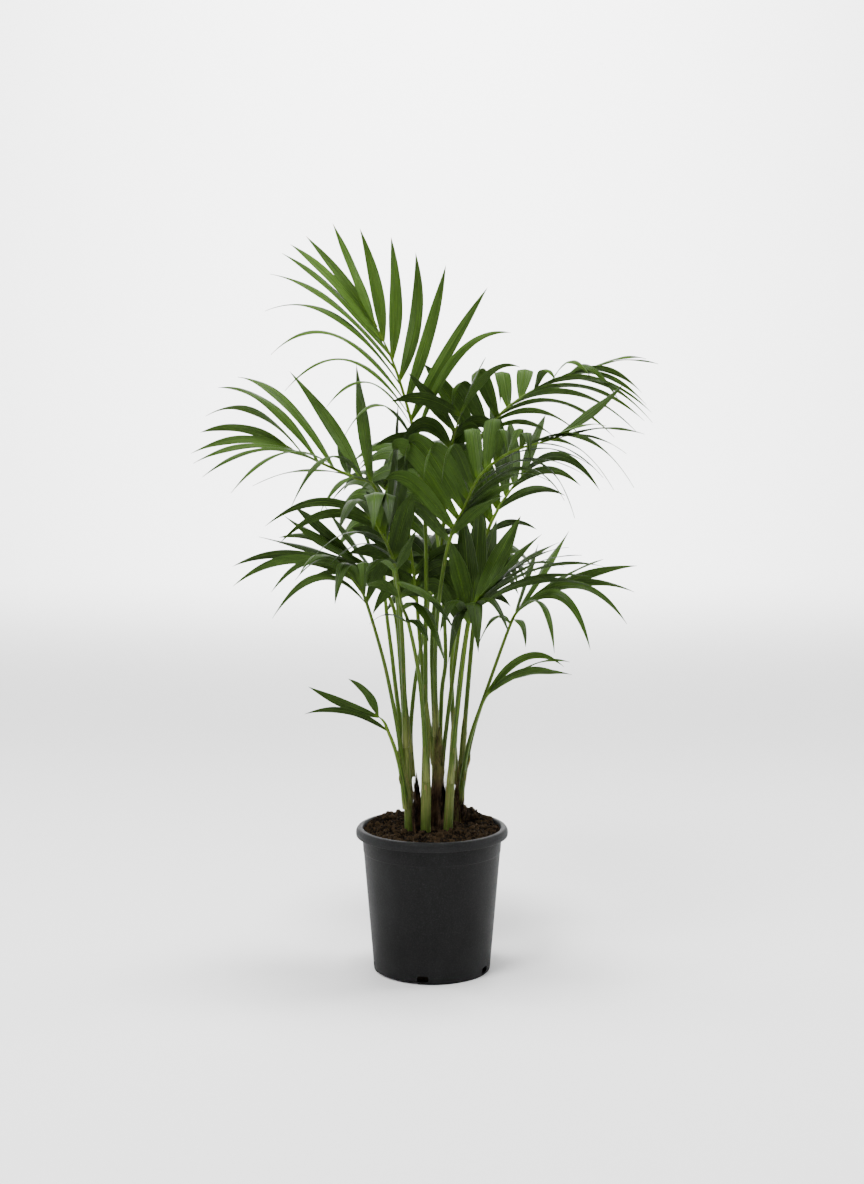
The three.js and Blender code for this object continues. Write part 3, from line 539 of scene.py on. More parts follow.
class Leaflet:
    """A leaflet's arch from base to tip, as a cubic curve's four points, and the way that it lies flat."""

    def __init__(self, base, tip, along, width, rise=0, bow=0, roll=0, fold=0, widest=BLADE_WIDEST):
        # The middle of a cubic curve moves three quarters as far as its handles do.
        arch = np.array([bow, 0.0, rise]) * 4 / 3
        self.arch = np.array([
            base, mix(base, tip, 1 / 3) + arch * (1 - fold), mix(base, tip, 2 / 3) + arch * (1 + fold), tip,
        ])
        self.length = np.linalg.norm(tip - base)
        self.width = width
        self.widest = widest
        chord = (tip - base) / self.length
        flat = unit(along - chord * np.dot(along, chord))
        if np.cross(chord, flat)[2] < 0:
            flat = -flat
        level = smooth(LEVEL_FROM, LEVEL_TO, abs(chord[1]))
        sideways = unit(np.cross(chord, UP))
        if np.dot(sideways, flat) < 0:
            sideways = -sideways
        flat = unit(mix(flat, sideways, level))
        turn = math.radians(roll * (1 - level))
        self.flat = (flat * math.cos(turn) + np.cross(chord, flat) * math.sin(turn)
                     + chord * np.dot(chord, flat) * (1 - math.cos(turn)))

    def room(self):
        """Points all over the leaflet, closer together than the cells."""
        rows = math.ceil(self.length * ROOM_STEPS / CELL)
        columns = math.ceil(self.width / 2 * ROOM_STEPS / CELL)
        s = np.linspace(0, 1, rows + 1)[:, None]
        a, b, c, d = self.arch
        centre = a * (1 - s)**3 + b * 3 * (1 - s)**2 * s + c * 3 * (1 - s) * s**2 + d * s**3
        forward = unit((b - a) * (1 - s)**2 + (c - b) * 2 * (1 - s) * s + (d - c) * s**2)
        across = unit(self.flat - forward * (forward @ self.flat)[:, None])
        rise = mix(BLADE_ROOT, 1, np.sin(math.pi / 2 * np.minimum(s / self.widest, 1)))
        fall = np.cos(math.pi / 2 * np.maximum((s - self.widest) / (1 - self.widest), 0))**BLADE_TAPER
        half = self.width / 2 * np.minimum(rise, fall)
        sides = np.arange(-columns, columns + 1) / columns
        return (centre[:, None] + across[:, None] * (half * sides)[..., None]).reshape(-1, 3)


class Room:
    """Which frond holds each cell of space, so that no two fronds' leaflets touch."""

    around = np.array([(i, j, k) for i in (-1, 0, 1) for j in (-1, 0, 1) for k in (-1, 0, 1)])

    def __init__(self):
        self.holder = np.zeros(CELLS, np.int16)

    def cells(self, points):
        return np.unique(np.floor(points / CELL).astype(int) - FIRST_CELL, axis=0)

    def is_free(self, cells, owner):
        near = self.holder[tuple((cells[:, None] + self.around).reshape(-1, 3).T)]
        return not np.any((near != 0) & (near != owner))

    def hold(self, cells, owner):
        self.holder[tuple(cells.T)] = owner


class Draw:
    """Random numbers from 0 to 1, the same in every run."""

    factor, modulus = 16807, 2147483647

    def __init__(self, seed=19):
        self.seed = seed

    def __call__(self):
        self.seed = self.seed * self.factor % self.modulus
        return self.seed / self.modulus


def fan_tips(fan, turn, path, first, draw):
    """The leaflets of a side that spreads by a rule."""
    tips = []
    for i in range(fan["count"]):
        share = i / (fan["count"] - 1)
        at = mix(first, path.last, share)
        along = path.tangent(at)
        sideways = unit(np.cross(along, UP))
        scatter = FAN["scatter"] * (draw() - 0.5)
        angle = math.radians(mix(FAN["first_angle"], FAN["last_angle"], share) + scatter)
        reach = fan["reach"] * mix(FAN["ends"], 1, math.sin(math.pi * share))
        length = reach * mix(FAN["shortest"], 1, draw())
        tip = path.point(at) + along * length * math.cos(angle) + sideways * turn * length * math.sin(angle)
        tips.append((tip - UP * fan["droop"], fan["width"], fan["droop"], 0))
    return tips


def row_tips(rows):
    return [(seen(row[:3]), row[3], row[4], row[5] if len(row) > 5 else 0) for row in rows]


def grow():
    """Every frond's path and leaflets, each leaflet bent until it is clear of the other fronds."""
    room, draw = Room(), Draw()
    paths = [Route([seen(p) for p in frond["stalk"] + frond["rachis"]]) for frond in FRONDS]
    for owner, path in enumerate(paths, 1):
        steps = round(path.last / STALK_STEP) + 1
        stalk = np.array([path.point(i * STALK_STEP) for i in range(steps)])
        room.hold(room.cells(stalk), owner)
    grown = {}
    for owner, (frond, path) in enumerate(zip(FRONDS, paths), 1):
        leaflets = []
        first = len(frond["stalk"]) - 1
        for which, side in enumerate((frond["left"], frond["right"])):
            tips = row_tips(side["tips"]) if "tips" in side else fan_tips(
                side["fan"], (-1, 1)[which], path, first, draw)
            for i, (tip, width, rise, bow) in enumerate(tips):
                share = i / (len(tips) - 1) if len(tips) > 1 else 1
                at = mix(first + which * STAGGER, path.last - (LAST_LEAFLET - which) * STAGGER, share)
                for away, up in BENDS:
                    leaflet = Leaflet(path.point(at), pushed_back(tip, away) + UP * up, path.tangent(at),
                                      width, rise, bow, side["roll"], side.get("fold", 0),
                                      side.get("widest", BLADE_WIDEST))
                    cells = room.cells(leaflet.room())
                    if room.is_free(cells, owner):
                        room.hold(cells, owner)
                        leaflets.append(leaflet)
                        break
        grown[frond["name"]] = (path, leaflets)
    return grown


def stem_route(stem):
    return Route([seen(p) for p in STEMS[stem]["axis"]])


# ---- Node trees as expressions ----


def is_vector(value):
    return isinstance(value, tuple) or (
        isinstance(value, Value) and value.socket.type in {"VECTOR", "RGBA"})


class Value:
    """A node's output, which Python's operators join to others."""

    def __init__(self, nodes, socket):
        self.nodes = nodes
        self.socket = socket

    def __add__(self, other):
        return self.nodes.join("ADD", self, other)

    def __sub__(self, other):
        return self.nodes.join("SUBTRACT", self, other)

    def __rsub__(self, other):
        return self.nodes.join("SUBTRACT", other, self)

    def __mul__(self, other):
        return self.nodes.join("MULTIPLY", self, other)

    def __pow__(self, other):
        return self.nodes.join("POWER", self, other)

    __radd__ = __add__
    __rmul__ = __mul__


class Nodes:
    """A node tree that is written as expressions on values."""

    def __init__(self, tree):
        self.tree = tree

    def make(self, kind, settings=None, values=None):
        """Adds a node of that type, with its settings first and then its sockets' values or links."""
        node = self.tree.nodes.new(kind)
        for name, value in (settings or {}).items():
            setattr(node, name, value)
        for key, value in (values or {}).items():
            shown = [socket for socket in node.inputs if socket.enabled]
            socket = shown[key] if isinstance(key, int) else next(s for s in shown if s.name == key)
            if isinstance(value, Value):
                self.tree.links.new(value.socket, socket)
            else:
                socket.default_value = value
        return node

    def add(self, kind, settings=None, values=None, output=None):
        """Adds a node and returns one of its outputs, the first that is shown unless it is named."""
        node = self.make(kind, settings, values)
        shown = [socket for socket in node.outputs if socket.enabled]
        return Value(self, next(s for s in shown if output in (None, s.name)))

    def join(self, operation, *values):
        """Adds a Math node, or a Vector Math node where a value is a vector."""
        vectors = [value for value in values if is_vector(value)]
        if not vectors:
            return self.add("ShaderNodeMath", {"operation": operation}, dict(enumerate(values)))
        if len(vectors) < len(values):
            number = next(value for value in values if not is_vector(value))
            return self.add("ShaderNodeVectorMath", {"operation": "SCALE"},
                            {"Vector": vectors[0], "Scale": number})
        return self.add("ShaderNodeVectorMath", {"operation": operation}, dict(enumerate(values)))

    def math(self, operation, *values):
        return self.add("ShaderNodeMath", {"operation": operation}, dict(enumerate(values)))

    def vector_math(self, operation, *values):
        return self.add("ShaderNodeVectorMath", {"operation": operation}, dict(enumerate(values)))

    def vector(self, x=0.0, y=0.0, z=0.0):
        return self.add("ShaderNodeCombineXYZ", None, {"X": x, "Y": y, "Z": z})

    def parts(self, vector):
        node = self.make("ShaderNodeSeparateXYZ", None, {"Vector": vector})
        return [Value(self, socket) for socket in node.outputs]

    def step(self, value, low, high):
        """0 where the value is low, 1 where it is high and a smooth step between them."""
        return self.add("ShaderNodeMapRange", {"interpolation_type": "SMOOTHSTEP"},
                        {"Value": value, "From Min": low, "From Max": high})

    def noise(self, place, scale, detail=2.0, roughness=0.5):
        return self.add("ShaderNodeTexNoise", None,
                        {"Vector": place, "Scale": scale, "Detail": detail, "Roughness": roughness})

    def blend(self, share, a, b):
        """From colour a to colour b."""
        return self.add("ShaderNodeMix", {"data_type": "RGBA"}, {"Factor": share, "A": a, "B": b})

    def times(self, colour, share, shade):
        """A colour with a shade laid over it."""
        return self.add("ShaderNodeMix", {"data_type": "RGBA", "blend_type": "MULTIPLY"},
                        {"Factor": share, "A": colour, "B": shade})


class ShapeNodes(Nodes):
    """A Geometry Nodes tree whose inputs are named."""

    def __init__(self, name):
        super().__init__(bpy.data.node_groups.new(name, "GeometryNodeTree"))
        self.tree.interface.new_socket("Geometry", in_out="OUTPUT", socket_type="NodeSocketGeometry")

    def input(self, name, kind):
        """A named input of the tree, of a kind such as Float, Int, Geometry or Material."""
        self.tree.interface.new_socket(name, in_out="INPUT", socket_type="NodeSocket" + kind)
        return Value(self, next(s for s in self.tree.nodes.new("NodeGroupInput").outputs if s.name == name))

    def attribute(self, name, kind="FLOAT"):
        return self.add("GeometryNodeInputNamedAttribute", {"data_type": kind}, {"Name": name})

    def store(self, geometry, name, value):
        kind = "FLOAT_VECTOR" if is_vector(value) else "FLOAT"
        return self.add("GeometryNodeStoreNamedAttribute", {"data_type": kind},
                        {"Geometry": geometry, "Name": name, "Value": value})

    def moved(self, geometry, place):
        return self.add("GeometryNodeSetPosition", None, {"Geometry": geometry, "Position": place})

    def finish(self, geometry, material):
        """Ends the tree: real geometry, smooth, with its material."""
        real = self.add("GeometryNodeRealizeInstances", None, {"Geometry": geometry})
        rounded = self.add("GeometryNodeSetShadeSmooth", None, {"Geometry": real})
        finished = self.add("GeometryNodeSetMaterial", None, {"Geometry": rounded, "Material": material})
        self.make("NodeGroupOutput", None, {"Geometry": finished})
        return self.tree

    def sleeve(self, around, along):
        """A closed tube of unit size whose corners hold their place: across it, along it and up."""
        tube = self.add("GeometryNodeMeshCylinder", {"fill_type": "TRIANGLE_FAN"},
                        {"Vertices": around, "Side Segments": along, "Radius": 1.0, "Depth": 1.0})
        x, y, z = self.parts(self.add("GeometryNodeInputPosition"))
        return self.store(tube, "place", self.vector(x, z + 0.5, y))


class ShadeNodes(Nodes):
    """A material's node tree."""

    def __init__(self, name):
        self.material = bpy.data.materials.new(name)
        self.material.use_nodes = True
        self.material.node_tree.nodes.clear()
        super().__init__(self.material.node_tree)

    def attribute(self, name, output="Vector"):
        return self.add("ShaderNodeAttribute", {"attribute_name": name}, None, output)

    def place(self):
        return self.add("ShaderNodeTexCoord", None, None, "Object")

    def finish(self, colour, roughness, height, depth, strength=1.0, **constants):
        """Ends the tree: a surface of that colour and roughness, with a relief of that depth in metres."""
        relief = self.add("ShaderNodeBump", None,
                          {"Strength": strength, "Distance": depth, "Height": height})
        values = {"Base Color": colour, "Roughness": roughness, "Normal": relief}
        values.update({name.replace("_", " "): value for name, value in constants.items()})
        surface = self.add("ShaderNodeBsdfPrincipled", None, values)
        self.make("ShaderNodeOutputMaterial", None, {"Surface": surface})
        return self.material


def blades_tree():
    """Leaflets: thin closed blades, each bent along its point's arch and narrowing to its tip."""
    nodes = ShapeNodes("Arched blades")
    places = nodes.input("Places", "Geometry")
    around = nodes.input("Corners around", "Int")
    rows = nodes.input("Rows along", "Int")
    thickness = nodes.input("Thickness", "Float")
    fold = nodes.input("Fold", "Float")
    wave = nodes.input("Wave", "Float")
    material = nodes.input("Material", "Material")

    blades = nodes.add("GeometryNodeInstanceOnPoints", None,
                       {"Points": places, "Instance": nodes.sleeve(around, rows)})
    real = nodes.add("GeometryNodeRealizeInstances", None, {"Geometry": blades})
    across, along, side = nodes.parts(nodes.attribute("place", "FLOAT_VECTOR"))
    arch = [nodes.attribute(name, "FLOAT_VECTOR") for name in ("base", "rise", "fall", "tip")]
    left = 1 - along
    centre = (arch[0] * left**3 + arch[1] * (3 * left**2 * along)
              + arch[2] * (3 * left * along**2) + arch[3] * along**3)
    onward = ((arch[1] - arch[0]) * left**2 + (arch[2] - arch[1]) * (2 * left * along)
              + (arch[3] - arch[2]) * along**2)
    forward = nodes.vector_math("NORMALIZE", onward)
    flat = nodes.attribute("flat", "FLOAT_VECTOR")
    leaning = nodes.vector_math("DOT_PRODUCT", flat, forward)
    sideways = nodes.vector_math("NORMALIZE", flat - forward * leaning)
    up = nodes.vector_math("CROSS_PRODUCT", forward, sideways)

    widest = nodes.attribute("widest")
    growing = nodes.math("MINIMUM", nodes.math("DIVIDE", along, widest), 1)
    narrowing = nodes.math("MAXIMUM", nodes.math("DIVIDE", along - widest, 1 - widest), 0)
    wide = BLADE_ROOT + (1 - BLADE_ROOT) * nodes.math("SINE", math.pi / 2 * growing)
    narrow = nodes.math("COSINE", math.pi / 2 * narrowing)**nodes.attribute("blunt")
    half = nodes.attribute("width") * 0.5 * nodes.math("MINIMUM", wide, narrow)
    half = nodes.math("MAXIMUM", half, BLADE_TIP * MM)
    tone = nodes.attribute("tone")
    swell = nodes.math("SINE", along * WAVES + tone * WAVE_SHIFT) * across
    swell = swell * nodes.math("SINE", along * math.pi)
    lifted = side * thickness * 0.5 - nodes.math("ABSOLUTE", across) * half * fold + swell * wave
    bent = nodes.moved(real, centre + sideways * (across * half) + up * lifted)
    grain = nodes.vector(across * half, along * nodes.attribute("length"), tone)
    return nodes.finish(nodes.store(bent, "grain", grain), material)


def stalks_tree():
    """A round stalk along a line whose points carry its radius."""
    nodes = ShapeNodes("Stalk along a line")
    line = nodes.input("Line", "Geometry")
    around = nodes.input("Corners around", "Int")
    rows = nodes.input("Rows along", "Int")
    ribs = nodes.input("Ribs", "Int")
    rib_depth = nodes.input("Rib depth", "Float")
    tone = nodes.input("Tone", "Float")
    material = nodes.input("Material", "Material")

    curve = nodes.add("GeometryNodeMeshToCurve", None, {"Mesh": line})
    across, along, side = nodes.parts(nodes.attribute("place", "FLOAT_VECTOR"))

    def sampled(output, value=0.0):
        return nodes.add("GeometryNodeSampleCurve", {"data_type": "FLOAT"},
                         {"Curves": curve, "Value": value, "Factor": along}, output)

    forward = sampled("Tangent")
    level = nodes.vector_math("CROSS_PRODUCT", (0.0, 1.0, 0.0), forward)
    sideways = nodes.vector_math("NORMALIZE", level)
    other = nodes.vector_math("CROSS_PRODUCT", forward, sideways)
    turn = nodes.math("ARCTAN2", side, across)
    ribbed = 1 + rib_depth * nodes.math("SINE", turn * ribs)
    radius = sampled("Value", nodes.attribute("radius")) * ribbed
    place = sampled("Position") + sideways * (across * radius) + other * (side * radius)
    tube = nodes.moved(nodes.sleeve(around, rows), place)
    length = nodes.add("GeometryNodeCurveLength", None, {"Curve": curve})
    grain = nodes.vector(turn * (STALK_GRAIN * MM), along * length, tone)
    tube = nodes.store(tube, "tone", tone)
    return nodes.finish(nodes.store(tube, "grain", grain), material)


# A crumb of radius 1: how its three sides are squashed, how fine and how deep it is dented, and how far it
# may turn, in radians, a little over once round. The power of its draw makes large crumbs rare.
CRUMB = {"sides": (1.0, 0.85, 0.75), "dents": 1.3, "dent_depth": 1.1, "turn": (6.3, 6.3, 6.3), "rarity": 3}


def crumbs_tree():
    """Crumbs scattered over a surface: small dented lumps of different sizes, turned at random."""
    nodes = ShapeNodes("Scattered crumbs")
    surface = nodes.input("Surface", "Geometry")
    density = nodes.input("Crumbs per square metre", "Float")
    smallest = nodes.input("Smallest", "Float")
    largest = nodes.input("Largest", "Float")
    detail = nodes.input("Detail", "Int")
    seed = nodes.input("Seed", "Int")
    material = nodes.input("Material", "Material")

    spots = nodes.add("GeometryNodeDistributePointsOnFaces", None,
                      {"Mesh": surface, "Density": density, "Seed": seed})
    draw = nodes.add("FunctionNodeRandomValue", {"data_type": "FLOAT"},
                     {"Min": 0.0, "Max": 1.0, "Seed": seed})
    spots = nodes.store(spots, "tone", draw)
    ball = nodes.add("GeometryNodeMeshIcoSphere", None, {"Radius": 1.0, "Subdivisions": detail}, "Mesh")
    here = nodes.add("GeometryNodeInputPosition")
    dents = nodes.add("ShaderNodeTexNoise", None,
                      {"Vector": here, "Scale": CRUMB["dents"], "Detail": 3.0}, "Color")
    dented = nodes.moved(ball, here * CRUMB["sides"] + (dents - (0.5, 0.5, 0.5)) * CRUMB["dent_depth"])
    turned = nodes.add("FunctionNodeRandomValue", {"data_type": "FLOAT_VECTOR"},
                       {"Min": (0.0, 0.0, 0.0), "Max": CRUMB["turn"], "Seed": seed})
    size = smallest + (largest - smallest) * nodes.attribute("tone")**CRUMB["rarity"]
    lumps = nodes.add("GeometryNodeInstanceOnPoints", None, {
        "Points": spots, "Instance": dented,
        "Rotation": nodes.add("FunctionNodeEulerToRotation", None, {"Euler": turned}),
        "Scale": nodes.vector(size, size, size),
    })
    return nodes.finish(lumps, material)


# ---- Making pieces ----


# The attributes that only the trees read.
SHAPING = ("base", "rise", "fall", "tip", "flat", "width", "widest", "blunt", "length", "radius")


def made_by(tree, piece, values):
    """The mesh that a tree makes of a piece, with its inputs set by name."""
    modifier = piece.modifiers.new("Shape", "NODES")
    modifier.node_group = tree
    for item in tree.interface.items_tree:
        if item.in_out == "INPUT" and item.name in values:
            modifier[item.identifier] = values[item.name]
    bpy.context.view_layer.update()
    depsgraph = bpy.context.evaluated_depsgraph_get()
    made = bpy.data.meshes.new_from_object(piece.evaluated_get(depsgraph))
    piece.modifiers.remove(modifier)
    old = piece.data
    piece.data = made
    bpy.data.meshes.remove(old)
    for name in SHAPING:
        if name in made.attributes:
            made.attributes.remove(made.attributes[name])
    return piece


def new_piece(name, points, faces=(), edges=(), material=None, **attributes):
    """An object with a mesh of those points, in millimetres, which carry an attribute of each name."""
    mesh = bpy.data.meshes.new(name)
    mesh.from_pydata((np.asarray(points, float) * MM).tolist(), edges, faces)
    for key, values in attributes.items():
        values = np.asarray(values, np.float32)
        kind, field = ("FLOAT_VECTOR", "vector") if values.ndim == 2 else ("FLOAT", "value")
        mesh.attributes.new(key, kind, "POINT").data.foreach_set(field, values.ravel())
    if material:
        mesh.materials.append(material)
        mesh.polygons.foreach_set("use_smooth", [True] * len(mesh.polygons))
    piece = bpy.data.objects.new(name, mesh)
    bpy.context.scene.collection.objects.link(piece)
    return piece


def settle(piece, slot, *nodes):
    """A finished piece rides on the part's one body and stands for its nodes. Its slot is not used."""
    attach(piece, "root")
    if nodes:
        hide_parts(*nodes)
    return piece


class Strips:
    """Closed strips lofted through rings of points that turn the same way, gathered into one mesh."""

    def __init__(self):
        self.points, self.faces, self.grain, self.place, self.tone = [], [], [], [], []

    def add(self, rings, grain, place, tone):
        """rings, grain and place have rows of corners; tone is the strip's own number."""
        rings = np.asarray(rings, float)
        rows, sides = rings.shape[:2]
        start = len(self.points)

        def corner(r, k):
            return start + r * sides + k % sides

        self.points.extend(rings.reshape(-1, 3))
        self.grain.extend(np.asarray(grain, float).reshape(-1, 3))
        self.place.extend(np.asarray(place, float).reshape(-1, 3))
        self.tone.extend([tone] * (rows * sides))
        self.faces += [(corner(r, k), corner(r, k + 1), corner(r + 1, k + 1), corner(r + 1, k))
                       for r in range(rows - 1) for k in range(sides)]
        self.faces.append([corner(0, k) for k in reversed(range(sides))])
        self.faces.append([corner(rows - 1, k) for k in range(sides)])

    def piece(self, name, material):
        return new_piece(name, self.points, self.faces, material=material,
                         grain=self.grain, place=self.place, tone=self.tone)


# ---- Settings ----


def metres(name, description, default):
    return bpy.props.FloatProperty(name=name, description=description, default=default, unit="LENGTH")


def whole_number(name, description, default):
    return bpy.props.IntProperty(name=name, description=description, default=default, min=1)


def fraction(name, description, default):
    return bpy.props.FloatProperty(name=name, description=description, default=default, subtype="FACTOR",
                                   min=0.0, max=1.0)


def tint(name, description, default):
    return bpy.props.FloatVectorProperty(name=name, description=description, default=default,
                                         subtype="COLOR", size=4, min=0.0, max=1.0)


POT_LOW, POT_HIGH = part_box("pot")


class PotSettings(bpy.types.PropertyGroup):
    height: metres("Height", "From the floor to the top of the rim", POT_HIGH.z)
    rim_radius: metres("Rim radius", "Outside of the rolled rim", POT_HIGH.x)
    shoulder_radius: metres("Shoulder radius", "Outside of the wall, just under the rim", 0.088)
    foot_radius: metres("Foot radius", "Outside of the wall, at the floor", 0.0736)
    wall: metres("Wall", "Thickness of the wall", 0.0018)
    lip_height: metres("Lip height", "How far the rim's skirt hangs down", 0.011)
    plastic: tint("Plastic", "The moulded plastic", (0.0026, 0.0027, 0.0028, 1))
    # This lighter plastic is the scuffs and the grain's tops, and also the painted highlight along the rim.
    scuffed_and_highlight: tint("Scuffed plastic", "The grain's tops and worn edges", (0.027, 0.028, 0.0285, 1))


class SoilSettings(bpy.types.PropertyGroup):
    edge: metres("Edge height", "Height of the soil along the pot's wall", 0.178)
    mound: metres("Mound", "How far the middle rises", 0.004)
    roughness: metres("Roughness", "Height of the soil's unevenness", 0.0016)
    crumbs: whole_number("Crumbs", "Small crumbs per square metre", 150000)
    lumps: whole_number("Lumps", "Larger lumps per square metre", 15000)
    dark: tint("Damp soil", "The darkest soil", (0.0015, 0.0010, 0.0006, 1))
    pale: tint("Dry soil", "The palest crumbs", (0.029, 0.019, 0.0095, 1))


class LeafSettings(bpy.types.PropertyGroup):
    corners: whole_number("Corners", "Corners round a leaflet's section", 16)
    rows: whole_number("Rows", "Rows along a leaflet", 30)
    thickness: metres("Thickness", "Thickness of a leaflet", 0.0006)
    fold: fraction("Fold", "How steeply the two halves of a leaflet fall from its midrib", 0.2)
    wave: metres("Wave", "How far a leaflet's edges wave", 0.0012)
    dark: tint("Dark green", "The darkest leaflets", (0.0028, 0.0092, 0.0003, 1))
    light: tint("Light green", "The lightest leaflets", (0.044, 0.092, 0.0110, 1))
    underside: tint("Underside", "The pale back of a leaflet", (0.028, 0.062, 0.005, 1))
    vein: tint("Vein", "Midrib and veins", (0.072, 0.145, 0.006, 1))
    dry: tint("Dry tip", "The withered end of a leaflet", (0.230, 0.150, 0.050, 1))


class StemSettings(bpy.types.PropertyGroup):
    sheath: metres("Sheath", "Thickness of one leaf base", 0.0006)
    stalk: tint("Stalk", "A frond's stalk", (0.043, 0.081, 0.006, 1))
    rachis: tint("Rachis", "The stalk's end, between the leaflets", (0.074, 0.128, 0.009, 1))
    pale: tint("Pale sheath", "A leaf base where it is driest", (0.150, 0.160, 0.050, 1))
    green: tint("Green sheath", "A leaf base near the soil", (0.030, 0.066, 0.004, 1))
    margin: tint("Margin", "The papery edge of a leaf base", (0.150, 0.090, 0.040, 1))
    dead: tint("Dead sheath", "Old fibre round the foot", (0.018, 0.010, 0.006, 1))
    dead_pale: tint("Pale fibre", "Single dry fibres", (0.150, 0.095, 0.050, 1))


class StageSettings(bpy.types.PropertyGroup):
    floor: tint("Floor", "The pale floor and backdrop", (0.92, 0.92, 0.92, 1))
    light: bpy.props.FloatProperty(name="Room light", description="Strength of the light from all sides",
                                   default=0.12, min=0.0)
    key: bpy.props.FloatProperty(name="Main light", description="Power of the large soft light in watts",
                                 default=160.0, min=0.0)


# ---- Materials ----

# How fine the noises of each finish are across, along and through its piece, per metre. Their grain runs
# along the piece.
LEAF_STREAKS, LEAF_PATCHES = (1300.0, 14.0, 70.0), (110.0, 14.0, 90.0)
STALK_STREAKS, STALK_MOTTLE = (1400.0, 9.0, 50.0), (250.0, 60.0, 50.0)
SHEATH_STREAKS, SHEATH_BANDS, SHEATH_LINES = (1100.0, 9.0, 40.0), (260.0, 30.0, 40.0), (2300.0, 14.0, 40.0)
FIBRE_STREAKS = (1800.0, 25.0, 60.0)
RIBS, VEINS = 5.5, 14  # from a leaflet's midrib to its edge
MIDRIB, MARGIN = 0.09, 0.9  # where a leaflet's midrib ends and its edge begins, from 0 to 1 across it
# What the fine lines of a finish multiply its colour by, between the lines and on them.
LEAF_SHADES = (0.36, 0.42, 0.4, 1), (1.3, 1.25, 1.35, 1)
STALK_SHADES = (0.35, 0.42, 0.35, 1), (1.3, 1.25, 1.2, 1)
SHEATH_SHADES = (0.5, 0.52, 0.45, 1), (1.25, 1.2, 1.2, 1)


def leaf_material(leaf):
    nodes = ShadeNodes("Leaf")
    across, along, side = nodes.parts(nodes.attribute("place"))
    tone = nodes.attribute("tone", "Fac")
    grain = nodes.attribute("grain")
    streaks = nodes.noise(grain * LEAF_STREAKS, 1.0, 3.0)
    patches = nodes.noise(grain * LEAF_PATCHES, 1.0)
    ribs = nodes.math("COSINE", across * (2 * math.pi * RIBS)) * 0.5 + 0.5
    veins = nodes.math("COSINE", across * (2 * math.pi * VEINS)) * 0.5 + 0.5
    middle = 1 - nodes.step(nodes.math("ABSOLUTE", across), 0.0, MIDRIB)
    edge = nodes.step(nodes.math("ABSOLUTE", across), MARGIN, 1.0)
    under = 1 - nodes.step(side, -0.1, 0.1)

    # A frond's tone is partly painted shade: the fronds at the back and in the middle of the plant are
    # darker.
    shade = tone * 0.6 + streaks * 0.5 + patches * 0.3 - 0.2
    green = nodes.blend(nodes.step(shade, 0.0, 0.9), leaf.dark, leaf.light)
    green = nodes.blend(under * (tone * 0.5 + 0.1), green, leaf.underside)
    green = nodes.blend(veins**3 * 0.14 + ribs**2 * 0.12, green, leaf.vein)
    green = nodes.blend(middle * 0.3 + edge * 0.15, green, leaf.vein)
    lines = nodes.step(streaks * 0.7 + veins * 0.3, 0.3, 0.62)
    green = nodes.times(green, 0.8, nodes.blend(lines, *LEAF_SHADES))
    root = 1 - nodes.step(along, 0.0, 0.12)
    green = nodes.blend(root * 0.6, green, leaf.vein)
    withered = nodes.step(along + streaks * 0.05, 0.975, 1.01) * nodes.step(tone, 0.8, 0.85)
    green = nodes.blend(withered, green, leaf.dry)
    roughness = 0.36 + streaks * 0.16 + under * 0.16 + withered * 0.2
    relief = ribs * 0.6 + veins * 0.25 + streaks * 0.3 + middle * 1.2
    return nodes.finish(green, roughness, relief, 0.0004, 0.8, Specular_IOR_Level=0.12)


def stalk_material(stem):
    nodes = ShadeNodes("Stalk")
    along = nodes.parts(nodes.attribute("place"))[1]
    grain = nodes.attribute("grain")
    streaks = nodes.noise(grain * STALK_STREAKS, 1.0, 3.0)
    mottle = nodes.noise(grain * STALK_MOTTLE, 1.0, 2.0)
    green = nodes.blend(nodes.step(along, 0.2, 0.9), stem.stalk, stem.rachis)
    green = nodes.blend((1 - nodes.step(along, 0.0, 0.16)) * 0.7, green, stem.pale)
    lines = nodes.step(streaks, 0.36, 0.64)
    green = nodes.times(green, 0.85, nodes.blend(lines, *STALK_SHADES))
    green = nodes.blend(nodes.step(mottle, 0.62, 0.75) * 0.3, green, stem.margin)
    return nodes.finish(green, 0.42 + streaks * 0.2, streaks, 0.0004, 0.7, Specular_IOR_Level=0.14)


def sheath_material(stem):
    nodes = ShadeNodes("Leaf base")
    across = nodes.parts(nodes.attribute("place"))[0]
    grain = nodes.attribute("grain")
    streaks = nodes.noise(grain * SHEATH_STREAKS, 1.0, 4.0, 0.6)
    bands = nodes.noise(grain * SHEATH_BANDS, 1.0, 2.0)
    height = nodes.parts(nodes.place())[2]
    foot = 1 - nodes.step(height, 0.180, 0.225)
    green = nodes.blend(nodes.step(streaks, 0.3, 0.7), stem.green, stem.pale)
    green = nodes.blend(foot * 0.65, green, stem.green)
    green = nodes.blend(nodes.step(height, 0.25, 0.38) * 0.6, green, stem.stalk)
    edge = nodes.step(nodes.math("ABSOLUTE", across), 0.86, 0.98)
    green = nodes.blend(edge * 0.7 + nodes.step(bands, 0.62, 0.74) * 0.25, green, stem.margin)
    lines = nodes.step(nodes.noise(grain * SHEATH_LINES, 1.0, 3.0), 0.36, 0.62)
    green = nodes.times(green, 0.7, nodes.blend(lines, *SHEATH_SHADES))
    return nodes.finish(green, 0.5 + streaks * 0.25, streaks + bands * 0.5, 0.0005, 0.8,
                        Specular_IOR_Level=0.12)


